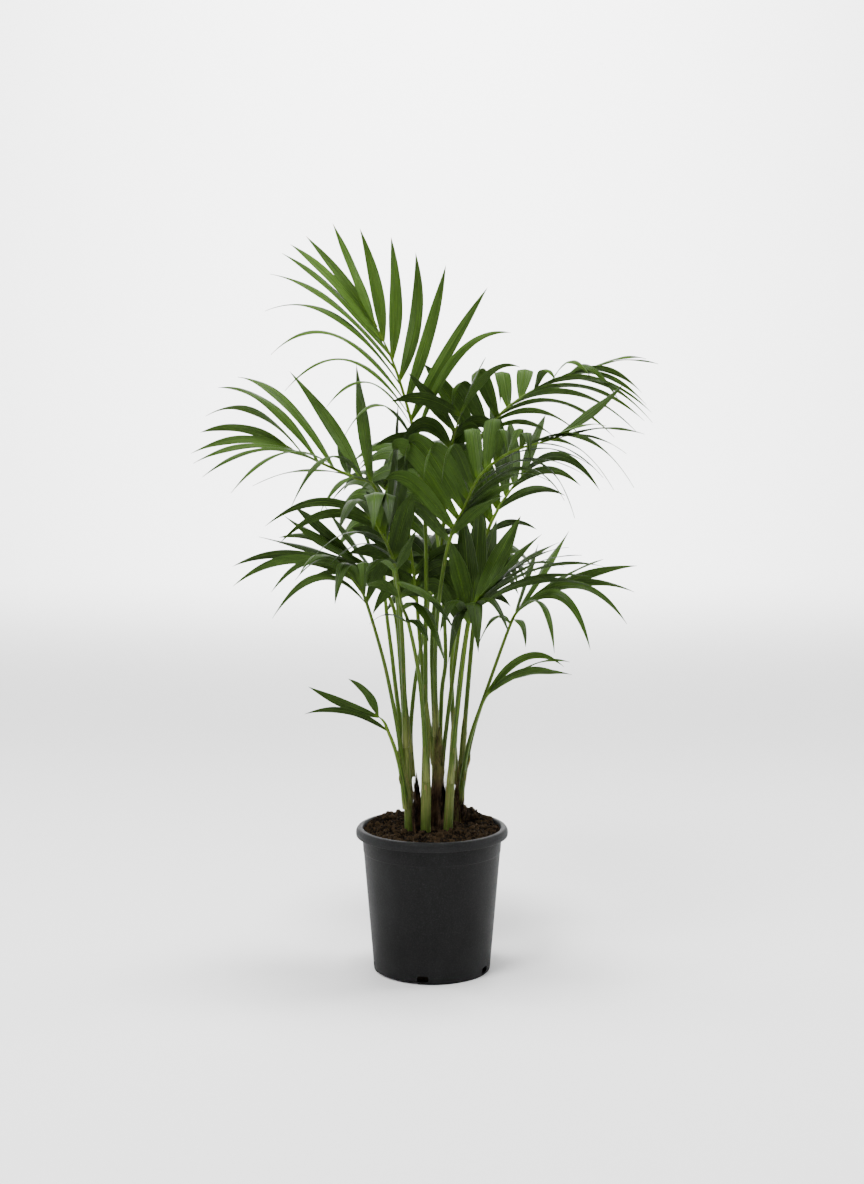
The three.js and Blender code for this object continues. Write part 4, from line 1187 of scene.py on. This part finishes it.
def dead_material(stem):
    nodes = ShadeNodes("Dead fibre")
    grain = nodes.attribute("grain")
    tone = nodes.attribute("tone", "Fac")
    fibres = nodes.noise(grain * FIBRE_STREAKS, 1.0, 4.0, 0.7)
    patches = nodes.noise(nodes.place(), 60.0, 3.0)
    brown = nodes.blend(nodes.step(fibres * 0.7 + patches * 0.5 + tone * 0.15, 0.5, 0.95),
                        stem.dead, stem.dead_pale)
    height = nodes.parts(nodes.place())[2]
    # Above the damp soil the fibre has dried to straw.
    straw = nodes.step(height + fibres * 0.03, 0.245, 0.275) * 0.8 + nodes.step(tone, 0.65, 0.75) * 0.6
    olive = nodes.blend(nodes.step(fibres, 0.4, 0.6), stem.stalk, stem.dead_pale)
    brown = nodes.blend(straw, brown, nodes.blend(0.4, olive, stem.pale))
    return nodes.finish(brown, 0.8 + fibres * 0.15, fibres, 0.0008, 1.0, Specular_IOR_Level=0.08)


def plastic_material(pot):
    nodes = ShadeNodes("Moulded plastic")
    place = nodes.place()
    speckle = nodes.noise(place, 900.0, 2.0, 0.6)
    grain = nodes.noise(place, 350.0, 3.0)
    smears = nodes.noise(place * (1.0, 1.0, 0.35), 26.0, 4.0)
    height = nodes.parts(place)[2]
    # Dust lies near the floor and on the rim's skirt, raised there into a painted highlight; the band
    # along the rim's top is a painted highlight alone.
    dust_and_highlight = (1 - nodes.step(height, 0.0, 0.05)) * 0.12 + nodes.step(height, 0.1695, 0.1725) * 0.16
    dust_and_highlight = dust_and_highlight + nodes.step(height, 0.1815, 0.1838) * 0.3
    shade = nodes.step(speckle, 0.45, 0.8) * 0.4 + nodes.step(smears, 0.5, 0.8) * 0.08 + dust_and_highlight
    grey = nodes.blend(shade, pot.plastic, pot.scuffed_and_highlight)
    roughness = 0.42 + grain * 0.16 + smears * 0.08
    return nodes.finish(grey, roughness, speckle * 0.5 + grain, 0.0003, 0.5, Specular_IOR_Level=0.1)


def soil_material(soil):
    nodes = ShadeNodes("Potting soil")
    place = nodes.place()
    coarse = nodes.noise(place, 160.0, 4.0, 0.65)
    fine = nodes.noise(place, 900.0, 3.0, 0.7)
    tone = nodes.attribute("tone", "Fac")
    brown = nodes.blend(nodes.step(coarse * 0.35 + fine * 0.7 + tone * 0.5, 0.58, 0.98),
                        soil.dark, soil.pale)
    return nodes.finish(brown, 0.85 + fine * 0.12, coarse + fine * 0.6, 0.0012, 1.0,
                        Specular_IOR_Level=0.05)


def stage_material(stage):
    nodes = ShadeNodes("Studio floor")
    cloud = nodes.noise(nodes.place(), 3.0)
    paint = nodes.blend(cloud * 0.04, stage.floor, (0.88, 0.88, 0.88, 1))
    return nodes.finish(paint, 0.9 + cloud * 0.05, cloud, 0.0001, 0.1)


# ---- Pot ----

POT_SEGMENTS = 160
RECESS = 0.0012  # how far the middle of the underside stands above the foot's edge, in metres
POT_FLOOR = 0.0024  # the height of the floor inside
STACKING_RING = 0.152  # the height of a faint ring where stacked pots rest in each other
STACKING_STEP = 0.00045  # how far the wall stands out above it
SLOT = {"count": 5, "first_degrees": -9, "width": 0.014, "depth": 0.006, "low": 0.003, "high": 0.011,
        "past_wall": 0.0008, "rounding": 0.0008}
# The foot's edge stands a little higher left of the front slot.
RAISED_FOOT = {"from_degrees": -160, "to_degrees": -105, "height": 0.0016, "below": 0.002, "width": 0.004}
SHARP_DEGREES = 50  # edges sharper than this are shaded as edges


def rounded(corners, steps=5):
    """An outline through corners of radius, height and rounding, with each corner replaced by an arc."""
    outline = []
    for i, (radius, height, rounding) in enumerate(corners):
        corner = np.array([radius, height])
        if rounding == 0:
            outline.append(corner)
            continue
        before = np.array(corners[i - 1][:2]) - corner
        after = np.array(corners[i + 1][:2]) - corner
        start = corner + before * min(0.5, rounding / np.linalg.norm(before))
        end = corner + after * min(0.5, rounding / np.linalg.norm(after))
        for step in np.linspace(0, 1, steps):
            outline.append(start * (1 - step)**2 + corner * 2 * step * (1 - step) + end * step**2)
    return outline


def pot_outline(pot):
    """The pot's section from the middle of its underside, up the outside, over the rim and down inside."""
    top, rim, shoulder = pot.height, pot.rim_radius, pot.shoulder_radius
    lip, wall = top - pot.lip_height, pot.wall
    inner = shoulder - wall

    def outside(height):
        return mix(pot.foot_radius, shoulder, height / lip)

    ring = STACKING_RING
    return rounded([
        (0, RECESS, 0), (outside(0) - 0.012, RECESS, 0.001), (outside(0) - 0.0105, 0, 0.0006),
        (outside(0), 0, 0.0022), (outside(0.02), 0.02, 0), (outside(0.06), 0.06, 0),
        (outside(0.1), 0.1, 0), (outside(ring), ring, 0.0004),
        (outside(ring) + STACKING_STEP, ring + 0.0006, 0.0004),
        (shoulder + 0.0002, lip, 0), (shoulder, top - wall, 0.0008), (rim - 0.004, top - wall, 0.001),
        (rim - wall, top - 0.0046, 0.0012), (rim - wall, lip, 0.0003), (rim - 0.0005, lip, 0.0005),
        (rim, lip + 0.0022, 0.0015), (rim, top - 0.0044, 0.0026), (rim - 0.0028, top - 0.0004, 0.0022),
        (rim - 0.006, top, 0.0012), (shoulder, top, 0.0012), (inner, top - 0.0026, 0.0014), (inner, lip, 0),
        (outside(POT_FLOOR) - wall, POT_FLOOR, 0.002), (0, POT_FLOOR, 0),
    ])


def lathe(name, outline, segments):
    """A closed surface of an outline turned about the upright axis. The outline starts and ends on it."""
    shape = bmesh.new()
    rings = []
    for radius, height in outline:
        places = [(radius * math.cos(turn), radius * math.sin(turn), height)
                  for turn in (2 * math.pi * k / segments for k in range(segments if radius > 0 else 1))]
        rings.append([shape.verts.new(place) for place in places])
    for low, high in zip(rings, rings[1:]):
        for k in range(segments):
            corners = [low[k % len(low)], low[(k + 1) % len(low)],
                       high[(k + 1) % len(high)], high[k % len(high)]]
            shape.faces.new(list(dict.fromkeys(corners)))
    bmesh.ops.recalc_face_normals(shape, faces=shape.faces)
    mesh = bpy.data.meshes.new(name)
    shape.to_mesh(mesh)
    shape.free()
    piece = bpy.data.objects.new(name, mesh)
    bpy.context.scene.collection.objects.link(piece)
    return piece


def slot_cutters(pot):
    """The drainage slots as one mesh of boxes with rounded edges, which cuts them out of the wall."""
    shape = bmesh.new()
    for i in range(SLOT["count"]):
        turn = math.radians(SLOT["first_degrees"] + 360 / SLOT["count"] * i)
        made = bmesh.ops.create_cube(shape, size=1)["verts"]
        tall = SLOT["high"] - SLOT["low"]
        bmesh.ops.scale(shape, verts=made, vec=(SLOT["width"], SLOT["depth"], tall))
        bmesh.ops.translate(shape, verts=made,
                            vec=(0, -pot.foot_radius + SLOT["past_wall"], SLOT["low"] + tall / 2))
        bmesh.ops.rotate(shape, verts=made, matrix=Matrix.Rotation(turn, 3, "Z"))
    bmesh.ops.bevel(shape, geom=shape.edges[:], offset=SLOT["rounding"], segments=2, affect="EDGES")
    mesh = bpy.data.meshes.new("slots")
    shape.to_mesh(mesh)
    shape.free()
    return bpy.data.objects.new("slots", mesh)


def cut(piece, cutter):
    """Takes the cutter out of a piece and removes it."""
    bpy.context.scene.collection.objects.link(cutter)
    boolean = piece.modifiers.new("Cut", "BOOLEAN")
    boolean.object = cutter
    boolean.solver = "EXACT"
    boolean.operation = "DIFFERENCE"
    bpy.context.view_layer.update()
    made = bpy.data.meshes.new_from_object(piece.evaluated_get(bpy.context.evaluated_depsgraph_get()))
    piece.modifiers.remove(boolean)
    piece.data = made
    bpy.data.objects.remove(cutter)
    return piece


def build_pot(pot):
    piece = lathe("pot_shell", pot_outline(pot), POT_SEGMENTS)
    cut(piece, slot_cutters(pot))
    raised_from, raised_to = (math.radians(RAISED_FOOT[end]) for end in ("from_degrees", "to_degrees"))
    for vertex in piece.data.vertices:
        turn = math.atan2(vertex.co.y, vertex.co.x)
        outside = math.hypot(vertex.co.x, vertex.co.y) > pot.foot_radius - RAISED_FOOT["width"]
        if vertex.co.z < RAISED_FOOT["below"] and outside and raised_from < turn < raised_to:
            vertex.co.z += RAISED_FOOT["height"]
    piece.data.materials.clear()
    piece.data.materials.append(plastic_material(pot))
    piece.data.shade_smooth()
    piece.data.set_sharp_from_angle(angle=math.radians(SHARP_DEGREES))
    settle(piece, "pot", "pot")


# ---- Soil ----

# Where soil is piled up behind the seedlings: the middle of each heap, how far it spreads and its height,
# in millimetres.
HEAPS = [
    {"x": -68, "y": 28, "spread": 17, "height": 8}, {"x": -52, "y": 56, "spread": 28, "height": 9},
    {"x": 0, "y": 64, "spread": 26, "height": 6}, {"x": 42, "y": 60, "spread": 20, "height": 16},
    {"x": 66, "y": 42, "spread": 20, "height": 9},
]

# Clods and grit on the soil's surface: how fine they are, per millimetre, and how high, in millimetres.
CLODS = {"fine": 0.07, "high": 3.4}
GRIT = {"fine": 0.45, "high": 1.6}
SOIL_COLUMNS, SOIL_RINGS = 240, 64
SOIL_GAP = 0.6  # between the soil's surface and the pot's wall, in millimetres
BED_TONE = 0.3
# Loose soil: its name, smallest and largest radius in metres, detail and seed.
LOOSE_SOIL = (("crumbs", 0.0006, 0.0026, 1, 5), ("lumps", 0.0016, 0.0052, 2, 8))


def soil_height(soil, pot, x, y):
    """The height of the soil in millimetres: a low mound, heaps at the back, and a rough top."""
    share = np.hypot(x, y) / (pot.shoulder_radius / MM)
    piled = sum(heap["height"] * np.exp(-((x - heap["x"])**2 + (y - heap["y"])**2) / heap["spread"]**2)
                for heap in HEAPS)
    rough = np.sin(x * 0.31 + 1) * np.cos(y * 0.27) + 0.6 * np.sin(x * 0.74 - y * 0.58)
    mound = soil.mound / MM * (1 - share**2)
    return soil.edge / MM + (mound + piled + soil.roughness / MM * rough) * (1 - share**10)


def crumbled(x, y):
    """How far clods and crumbs stand above the even soil, in millimetres."""
    clods = noise.fractal(Vector((x * CLODS["fine"], y * CLODS["fine"], 3)), 1.0, 2.0, 4)
    grit = noise.fractal(Vector((x * GRIT["fine"], y * GRIT["fine"], 9)), 0.8, 2.0, 3)
    return CLODS["high"] * clods + GRIT["high"] * grit


def build_soil(soil, pot):
    columns, rings = SOIL_COLUMNS, SOIL_RINGS
    turns = np.arange(columns) * 2 * math.pi / columns
    widest = (pot.shoulder_radius - pot.wall) / MM - SOIL_GAP
    points, top_start = [], 2
    for radius, height in ((pot.foot_radius / MM - 5, 3.0), (widest - 0.8, soil.edge / MM - 3)):
        points.extend((radius * math.cos(t), radius * math.sin(t), height) for t in turns)
    for r in range(rings):
        radius = widest * (1 - (r / rings)**1.1)
        for t in turns:
            x, y = radius * math.cos(t), radius * math.sin(t)
            fade = min(1.0, (widest - radius) / 5 + 0.2)
            points.append((x, y, soil_height(soil, pot, x, y) + crumbled(x, y) * fade))
    points.append((0, 0, soil_height(soil, pot, 0, 0)))
    rows = rings + top_start

    def at(r, k):
        return r * columns + k % columns

    sides = [(at(r, k), at(r, k + 1), at(r + 1, k + 1), at(r + 1, k))
             for r in range(rows - 1) for k in range(columns)]
    cap = [(at(rows - 1, k), at(rows - 1, k + 1), len(points) - 1) for k in range(columns)]
    floor = [[at(0, k) for k in reversed(range(columns))]]
    material = soil_material(soil)
    bed = new_piece("soil_bed", points, sides + cap + floor, material=material,
                    tone=np.full(len(points), BED_TONE))
    top_faces = sides[top_start * columns:] + cap

    tree = crumbs_tree()
    for kind, smallest, largest, detail, seed in LOOSE_SOIL:
        loose = new_piece(f"soil_{kind}", points, top_faces)
        made_by(tree, loose, {"Crumbs per square metre": float(getattr(soil, kind)), "Smallest": smallest,
                              "Largest": largest, "Detail": detail, "Seed": seed, "Material": material})
        settle(loose, "soil")
    settle(bed, "soil", "soil")


# ---- Stems and leaf bases ----

SHEATH_LOW = 150  # the height in the soil from which the leaf bases are made, in millimetres
TONGUE = 46  # how far a leaf base reaches above the foot of its stalk
SPEAR = 34  # how far the rolled young leaf stands out of the top of a stem
FLARE = 4.4  # radius of a stalk's foot, where it widens into its leaf base
FLARE_LENGTH = 70  # how far up its stalk a foot's flare reaches
HALVINGS = 24  # of the stretch that a place on an axis is looked for in
LAYER = 0.5  # how much closer to its stem's middle each older leaf base lies
BASE_COLUMNS, BASE_ROWS = 14, 22  # of a leaf base
# How far a leaf base wraps to each side, in degrees: its stem at its foot, and its stalk at its tip.
WRAP_LOW, WRAP_HIGH = 172, 30
LAP = 0.35  # how far a leaf base's one edge laps over the other
SHEATH_RIBS, SHEATH_RIB = 19, 0.12  # how often its wall is ribbed, and how high
EDGE_DIP = 7  # how far below its tongue's tip its edges end
AXIS_STEPS = 16  # points of a stem's core below its spear
# The spear's points: how far along it they lie, and their radius as a share of the stem's.
SPEAR_POINTS = ((0.3, 0.85), (0.6, 0.6), (0.85, 0.35), (1, 0.08))


def axis_at(route, height):
    """The place on a stem's axis at a height. Past its ends the axis goes straight on."""
    low, high = 0.0, float(route.last)
    if height >= route.point(high)[2]:
        along = route.tangent(high)
        return route.point(high) + along * (height - route.point(high)[2]) / along[2], high
    for _ in range(HALVINGS):
        middle = (low + high) / 2
        low, high = (middle, high) if route.point(middle)[2] < height else (low, middle)
    return route.point(low), low


def stem_radius(stem, at, last):
    return mix(STEMS[stem]["foot"], STEMS[stem]["top"], at / last)


def place_at_height(path, height):
    """Where a frond's stalk passes a height."""
    steps = np.linspace(0, path.last, 200)
    places = np.array([path.point(at) for at in steps])
    return places[np.argmin(np.abs(places[:, 2] - height))]


def leaf_base(strips, stem, path, layer, layers, settings):
    """One leaf base: a sheet rolled round its stem that narrows to a tongue up its frond's stalk."""
    route = stem_route(stem)
    foot = path.point(0)
    top = foot[2] + TONGUE
    level = foot[2] + FLARE_LENGTH
    ahead = place_at_height(path, level) - axis_at(route, level)[0]
    facing = math.atan2(ahead[1], ahead[0])
    thick = settings.sheath / MM
    columns, rows = BASE_COLUMNS, BASE_ROWS
    rings, grain, place = [], [], []
    for r in range(rows):
        share = r / (rows - 1)
        height = mix(SHEATH_LOW, top, share**0.8)
        centre, at = axis_at(route, height)
        leaving = smooth(foot[2] - 25, top, height)
        spread = math.radians(mix(WRAP_LOW, WRAP_HIGH, smooth(foot[2] - 45, top - 6, height)))
        outer = stem_radius(stem, at, route.last) + 0.25 - LAYER * layer
        outer = mix(outer, mix(STALK_FOOT, STALK_TIP, 0.1) + 0.7, leaving)
        centre = mix(centre, place_at_height(path, height) if height > foot[2] else centre, leaving)
        thin = thick * mix(1, 0.35, share)
        ring, ring_grain, ring_place = [], [], []
        for wall, order in ((outer, range(columns + 1)), (outer - thin, reversed(range(columns + 1)))):
            for k in order:
                across = 2 * k / columns - 1
                turn = facing + across * spread
                lap = LAP * across * (1 - leaving)
                radius = wall + lap + SHEATH_RIB * math.sin(across * SHEATH_RIBS + layer)
                dip = EDGE_DIP * abs(across)**4 * smooth(0.7, 1, share)
                ring.append((centre[0] + radius * math.cos(turn), centre[1] + radius * math.sin(turn),
                             height - dip))
                ring_grain.append((across * spread * outer * MM, height * MM, layer))
                ring_place.append((across, share, layer))
        rings.append(ring)
        grain.append(ring_grain)
        place.append(ring_place)
    strips.add(rings, grain, place, 0.2 + 0.6 * layer / max(layers, 1))


def build_stem(stem, grown, settings, tree, material):
    """A seedling's stem: its newest leaf rolled up in the middle, and the leaf bases round it."""
    route = stem_route(stem)
    own = sorted((grown[f["name"]][0] for f in FRONDS if f["stem"] == stem), key=lambda p: p.point(0)[2])
    steps = np.linspace(0, route.last, AXIS_STEPS)
    axis = [route.point(at) for at in steps]
    inside = [stem_radius(stem, at, route.last) - LAYER * len(own) - 0.2 for at in steps]
    along = route.tangent(route.last)
    axis += [axis[-1] + along * SPEAR * share for share, _ in SPEAR_POINTS]
    inside += [inside[-1] * share for _, share in SPEAR_POINTS]
    edges = [(i, i + 1) for i in range(len(axis) - 1)]
    core = new_piece(f"stem_{stem}_core", axis, edges=edges, radius=[r * MM for r in inside])
    made_by(tree, core, {"Corners around": 20, "Rows along": 60, "Ribs": 9, "Rib depth": 0.05, "Tone": 0.5,
                         "Material": material})
    settle(core, "sheath")
    strips = Strips()
    for layer, path in enumerate(own):
        leaf_base(strips, stem, path, layer, len(own), settings)
    settle(strips.piece(f"stem_{stem}", material), "sheath", f"stem_{stem}")


# ---- Dead sheaths ----

OLD_LOW = 158  # in the soil, in millimetres
OLD_SIDES = 200  # the height of a dead sheath's two edges
OLD_WALL = 0.7  # thickness of a dead sheath
# The plies of a dead sheath: the height of their tips as a share of the sheath's, how deep they are torn,
# and how far they stand off.
PLIES = ((1.0, 20, 0.0), (0.86, 24, 0.9))
PLY_TONE = 0.2  # how much paler each ply is than the one before it
OLD_COLUMNS, OLD_ROWS = 40, 18
FIBRES = 90  # loose fibres on one dead sheath
FIBRE_TONE = 0.6  # of the palest fibre


def build_old_sheath(sheath, material, tree, draw):
    """A strip of dead fibre round a seedling's foot, torn along its top, with loose fibres."""
    route = stem_route(sheath["stem"])
    foot = STEMS[sheath["stem"]]["foot"]
    strips = Strips()
    columns, rows = OLD_COLUMNS, OLD_ROWS
    tops = []
    for ply, (shrink, tear, off) in enumerate(PLIES):
        inner = foot + sheath["clearance"] + off
        top = mix(OLD_SIDES, sheath["top"], shrink)
        across = np.linspace(-1, 1, columns + 1)
        ragged = np.array([noise.fractal(Vector((a * 9, ply * 5, foot)), 0.5, 2.0, 4) for a in across])
        highs = top - (top - OLD_SIDES) * np.abs(across)**1.5 - tear * (0.5 + ragged)
        rings, grain, place = [], [], []
        for r in range(rows + 1):
            share = r / rows
            ring, ring_grain, ring_place = [], [], []
            walls = (inner + OLD_WALL, range(columns + 1)), (inner, reversed(range(columns + 1)))
            for wall, order in walls:
                for k in order:
                    height = mix(OLD_LOW, highs[k], share)
                    centre = axis_at(route, height)[0]
                    turn = math.radians(sheath["facing"] + across[k] * sheath["spread"])
                    crumple = 0.5 * noise.noise(Vector((across[k] * 7, height * 0.06, ply * 9 + foot)))
                    curl = 1.6 * share**3 * (0.4 + abs(across[k]))
                    radius = wall + crumple + curl
                    ring.append((centre[0] + radius * math.cos(turn), centre[1] + radius * math.sin(turn),
                                 height))
                    ring_grain.append((math.radians(sheath["spread"]) * across[k] * inner * MM,
                                       height * MM, ply))
                    ring_place.append((across[k], share, ply))
            rings.append(ring)
            grain.append(ring_grain)
            place.append(ring_place)
            if r == rows:
                tops.extend(ring[:columns + 1])
        strips.add(rings, grain, place, sheath["dryness"] + PLY_TONE * ply)
    settle(strips.piece(sheath["name"], material), "old_sheath", sheath["name"])
    fibres = []
    for _ in range(FIBRES):
        start = np.array(tops[int(draw() * len(tops))])
        down = 6 + 34 * draw()
        centre = axis_at(route, start[2])[0]
        outward = unit((start - centre) * (1, 1, 0))
        sideways = np.cross(outward, UP)
        lean = (draw() - 0.35) * 5
        tip = start + outward * lean + sideways * (draw() - 0.5) * 8 + UP * (3 + 9 * draw() * draw())
        base = start - UP * min(down, start[2] - OLD_LOW) + outward * 0.4
        width = 0.5 + 0.7 * draw()
        fibres.append(Leaflet(base, tip, sideways, width, bow=(draw() - 0.5) * 3, widest=0.3))
    piece = arched(sheath["name"] + "_fibres", fibres, [FIBRE_TONE * draw() for _ in fibres])
    made_by(tree, piece, {"Corners around": 4, "Rows along": 7, "Thickness": 0.0003, "Fold": 0.0,
                          "Wave": 0.0, "Material": material})
    settle(piece, "old_sheath")


# ---- Fronds ----

TONE_SPREAD = 0.45  # how far the tones of one frond's leaflets differ
STALK_POINTS = 12  # from one point of a frond's route to the next
TIP_THINNING = 0.9  # how much thinner a stalk's very end is
STALK_CORNERS, STALK_ROWS = 12, 24  # rows to each point of its route
STALK_RIBS, STALK_RIB = 3, 0.06  # how often a stalk is ribbed, and how high as a share of its radius


def arched(name, leaflets, tones):
    """The points that arched blades grow from, one for each leaflet."""
    arches = np.array([leaflet.arch for leaflet in leaflets])
    base, rise, fall, tip = (arches[:, i] * MM for i in range(4))
    return new_piece(
        name, arches[:, 0], base=base, rise=rise, fall=fall, tip=tip,
        flat=[leaflet.flat for leaflet in leaflets],
        width=[leaflet.width * MM for leaflet in leaflets],
        length=[leaflet.length * MM for leaflet in leaflets],
        widest=[leaflet.widest for leaflet in leaflets],
        blunt=np.full(len(leaflets), BLADE_TAPER), tone=tones)


def build_frond(frond, grown, leaf, trees, materials, draw):
    name = frond["name"]
    path, leaflets = grown[name]
    tones = [frond["tone"] + TONE_SPREAD * (draw() - 0.5) for _ in leaflets]
    blades = arched(f"frond_{name}_leaflets", leaflets, tones)
    made_by(trees["blades"], blades, {
        "Corners around": leaf.corners, "Rows along": leaf.rows, "Thickness": leaf.thickness,
        "Fold": leaf.fold, "Wave": leaf.wave, "Material": materials["leaf"]})
    settle(blades, "leaf")

    steps = np.linspace(0, path.last, STALK_POINTS * path.last + 1)
    line = np.array([path.point(at) for at in steps])
    along = np.concatenate([[0], np.cumsum(np.linalg.norm(np.diff(line, axis=0), axis=1))])
    radius = mix(STALK_FOOT, STALK_TIP, steps / path.last)
    radius = radius + (FLARE - STALK_FOOT) * (1 - smooth(0, FLARE_LENGTH, along))
    radius = radius - TIP_THINNING * smooth(0.88, 1, along / along[-1])
    stalk = new_piece(f"frond_{name}_stalk", line, edges=[(i, i + 1) for i in range(len(line) - 1)],
                      radius=radius * MM)
    made_by(trees["stalks"], stalk, {
        "Corners around": STALK_CORNERS, "Rows along": STALK_ROWS * path.last, "Ribs": STALK_RIBS,
        "Rib depth": STALK_RIB, "Tone": draw(), "Material": materials["stalk"]})
    settle(stalk, "leaf", f"frond_{name}")


# ---- Stage ----

CAMERA = {"place": (0.0, -2.3, 0.73), "tilt": 6.2, "lens": 56.5, "sensor": 36.0}
# The floor is round, from its middle to where it bends up into the wall, in metres.
STAGE = {"bend": 5.0, "wall": 7.5, "top": 6.0, "columns": 96, "rows": 24}
PLANT, WALL = (0.0, 0.0, 0.45), (0.0, STAGE["wall"], 0.8)
# Each lamp: its name, its place, what it lights, its size, and its power as a share of the main light's.
LAMPS = (
    ("main", (-1.1, -1.5, 2.9), PLANT, 1.0, 0.58), ("left", (-2.6, 0.9, 1.5), PLANT, 1.2, 0.24),
    ("right", (2.6, 0.7, 1.6), PLANT, 1.2, 0.32), ("top", (0.0, 0.0, 3.2), PLANT, 1.0, 1.0),
    ("backdrop", (0.0, 4.6, 3.4), WALL, 3.0, 4.2),
)


def build_stage(stage):
    camera = bpy.data.cameras.new("camera")
    camera.lens = CAMERA["lens"]
    camera.sensor_width = CAMERA["sensor"]
    view = bpy.data.objects.new("camera", camera)
    view.location = CAMERA["place"]
    view.rotation_euler = (math.radians(90 - CAMERA["tilt"]), 0, 0)
    bpy.context.scene.collection.objects.link(view)
    bpy.context.scene.camera = view

    # The floor bends up into a wall all round, so that every side has the same backdrop.
    bend, columns = STAGE["bend"], STAGE["columns"]
    radius = STAGE["wall"] - bend
    section = [(bend, 0.0)]
    section += [(bend + radius * math.sin(t), radius * (1 - math.cos(t)))
                for t in np.linspace(0, math.pi / 2, STAGE["rows"])[1:]]
    section.append((STAGE["wall"], STAGE["top"]))
    turns = np.arange(columns) * 2 * math.pi / columns
    points = [(r * math.cos(t) / MM, r * math.sin(t) / MM, z / MM) for r, z in section for t in turns]
    faces = [list(range(columns))]
    faces += [(i * columns + k, (i + 1) * columns + k, (i + 1) * columns + (k + 1) % columns,
               i * columns + (k + 1) % columns) for i in range(len(section) - 1) for k in range(columns)]
    new_piece("floor_and_backdrop", points, faces, material=stage_material(stage))

    world = bpy.data.worlds.new("studio")
    world.use_nodes = True
    sky = world.node_tree.nodes["Background"]
    sky.inputs["Color"].default_value = (1.0, 1.0, 1.0, 1)
    sky.inputs["Strength"].default_value = stage.light
    bpy.context.scene.world = world
    for name, place, target, size, share in LAMPS:
        lamp = bpy.data.lights.new(name, "AREA")
        lamp.shape = "DISK"
        lamp.size = size
        lamp.energy = stage.key * share
        holder = bpy.data.objects.new(name, lamp)
        holder.location = place
        aim = Vector(target) - Vector(place)
        holder.rotation_euler = aim.to_track_quat("-Z", "Y").to_euler()
        bpy.context.scene.collection.objects.link(holder)


# ---- The add-on ----


class PALM_OT_stage(bpy.types.Operator):
    """Sets up the camera, the pale floor and the soft studio light"""

    bl_idname = "palm.stage"
    bl_label = "Stage"

    def execute(self, context):
        build_stage(context.scene.palm_stage)
        return {"FINISHED"}


class PALM_OT_pot(bpy.types.Operator):
    """Builds the nursery pot with its rolled rim and drainage slots"""

    bl_idname = "palm.pot"
    bl_label = "Pot"

    def execute(self, context):
        build_pot(context.scene.palm_pot)
        return {"FINISHED"}


class PALM_OT_soil(bpy.types.Operator):
    """Fills the pot with crumbly soil"""

    bl_idname = "palm.soil"
    bl_label = "Soil"

    def execute(self, context):
        build_soil(context.scene.palm_soil, context.scene.palm_pot)
        return {"FINISHED"}


class PALM_OT_stems(bpy.types.Operator):
    """Builds each seedling's stem of rolled leaf bases"""

    bl_idname = "palm.stems"
    bl_label = "Stems"

    def execute(self, context):
        settings = context.scene.palm_stem
        tree, material, grown = stalks_tree(), sheath_material(settings), grow()
        for stem in STEMS:
            build_stem(stem, grown, settings, tree, material)
        return {"FINISHED"}


class PALM_OT_old_sheaths(bpy.types.Operator):
    """Wraps torn dead fibre round the seedlings' feet"""

    bl_idname = "palm.old_sheaths"
    bl_label = "Dead sheaths"

    def execute(self, context):
        tree, material, draw = blades_tree(), dead_material(context.scene.palm_stem), Draw(31)
        for sheath in OLD_SHEATHS:
            build_old_sheath(sheath, material, tree, draw)
        return {"FINISHED"}


class PALM_OT_fronds(bpy.types.Operator):
    """Grows the fronds: stalks, rachises and leaflets"""

    bl_idname = "palm.fronds"
    bl_label = "Fronds"

    def execute(self, context):
        scene = context.scene
        trees = {"blades": blades_tree(), "stalks": stalks_tree()}
        materials = {"leaf": leaf_material(scene.palm_leaf), "stalk": stalk_material(scene.palm_stem)}
        grown, draw = grow(), Draw(47)
        for frond in FRONDS:
            build_frond(frond, grown, scene.palm_leaf, trees, materials, draw)
        return {"FINISHED"}


STEPS = (PALM_OT_stage, PALM_OT_pot, PALM_OT_soil, PALM_OT_stems, PALM_OT_old_sheaths, PALM_OT_fronds)
SETTINGS = {
    "palm_stage": StageSettings, "palm_pot": PotSettings, "palm_soil": SoilSettings,
    "palm_stem": StemSettings, "palm_leaf": LeafSettings,
}


class PALM_PT_panel(bpy.types.Panel):
    """Lists the palm's settings and the steps that build it"""

    bl_idname = "PALM_PT_panel"
    bl_label = "Potted palm"
    bl_space_type = "VIEW_3D"
    bl_region_type = "UI"
    bl_category = "Palm"

    def draw(self, context):
        for step in STEPS:
            self.layout.operator(step.bl_idname)
        for name, group in SETTINGS.items():
            box = self.layout.box()
            box.label(text=name.replace("palm_", "").capitalize())
            for setting in group.__annotations__:
                box.prop(getattr(context.scene, name), setting)


def register():
    for group in SETTINGS.values():
        bpy.utils.register_class(group)
    for step in STEPS:
        bpy.utils.register_class(step)
    bpy.utils.register_class(PALM_PT_panel)
    for name, group in SETTINGS.items():
        setattr(bpy.types.Scene, name, bpy.props.PointerProperty(type=group))


def unregister():
    for name in SETTINGS:
        delattr(bpy.types.Scene, name)
    bpy.utils.unregister_class(PALM_PT_panel)
    for step in reversed(STEPS):
        bpy.utils.unregister_class(step)
    for group in SETTINGS.values():
        bpy.utils.unregister_class(group)


def main():
    register()
    for step in STEPS:
        group, name = step.bl_idname.split(".")
        getattr(getattr(bpy.ops, group), name)()


if __name__ == "__main__":
    main()
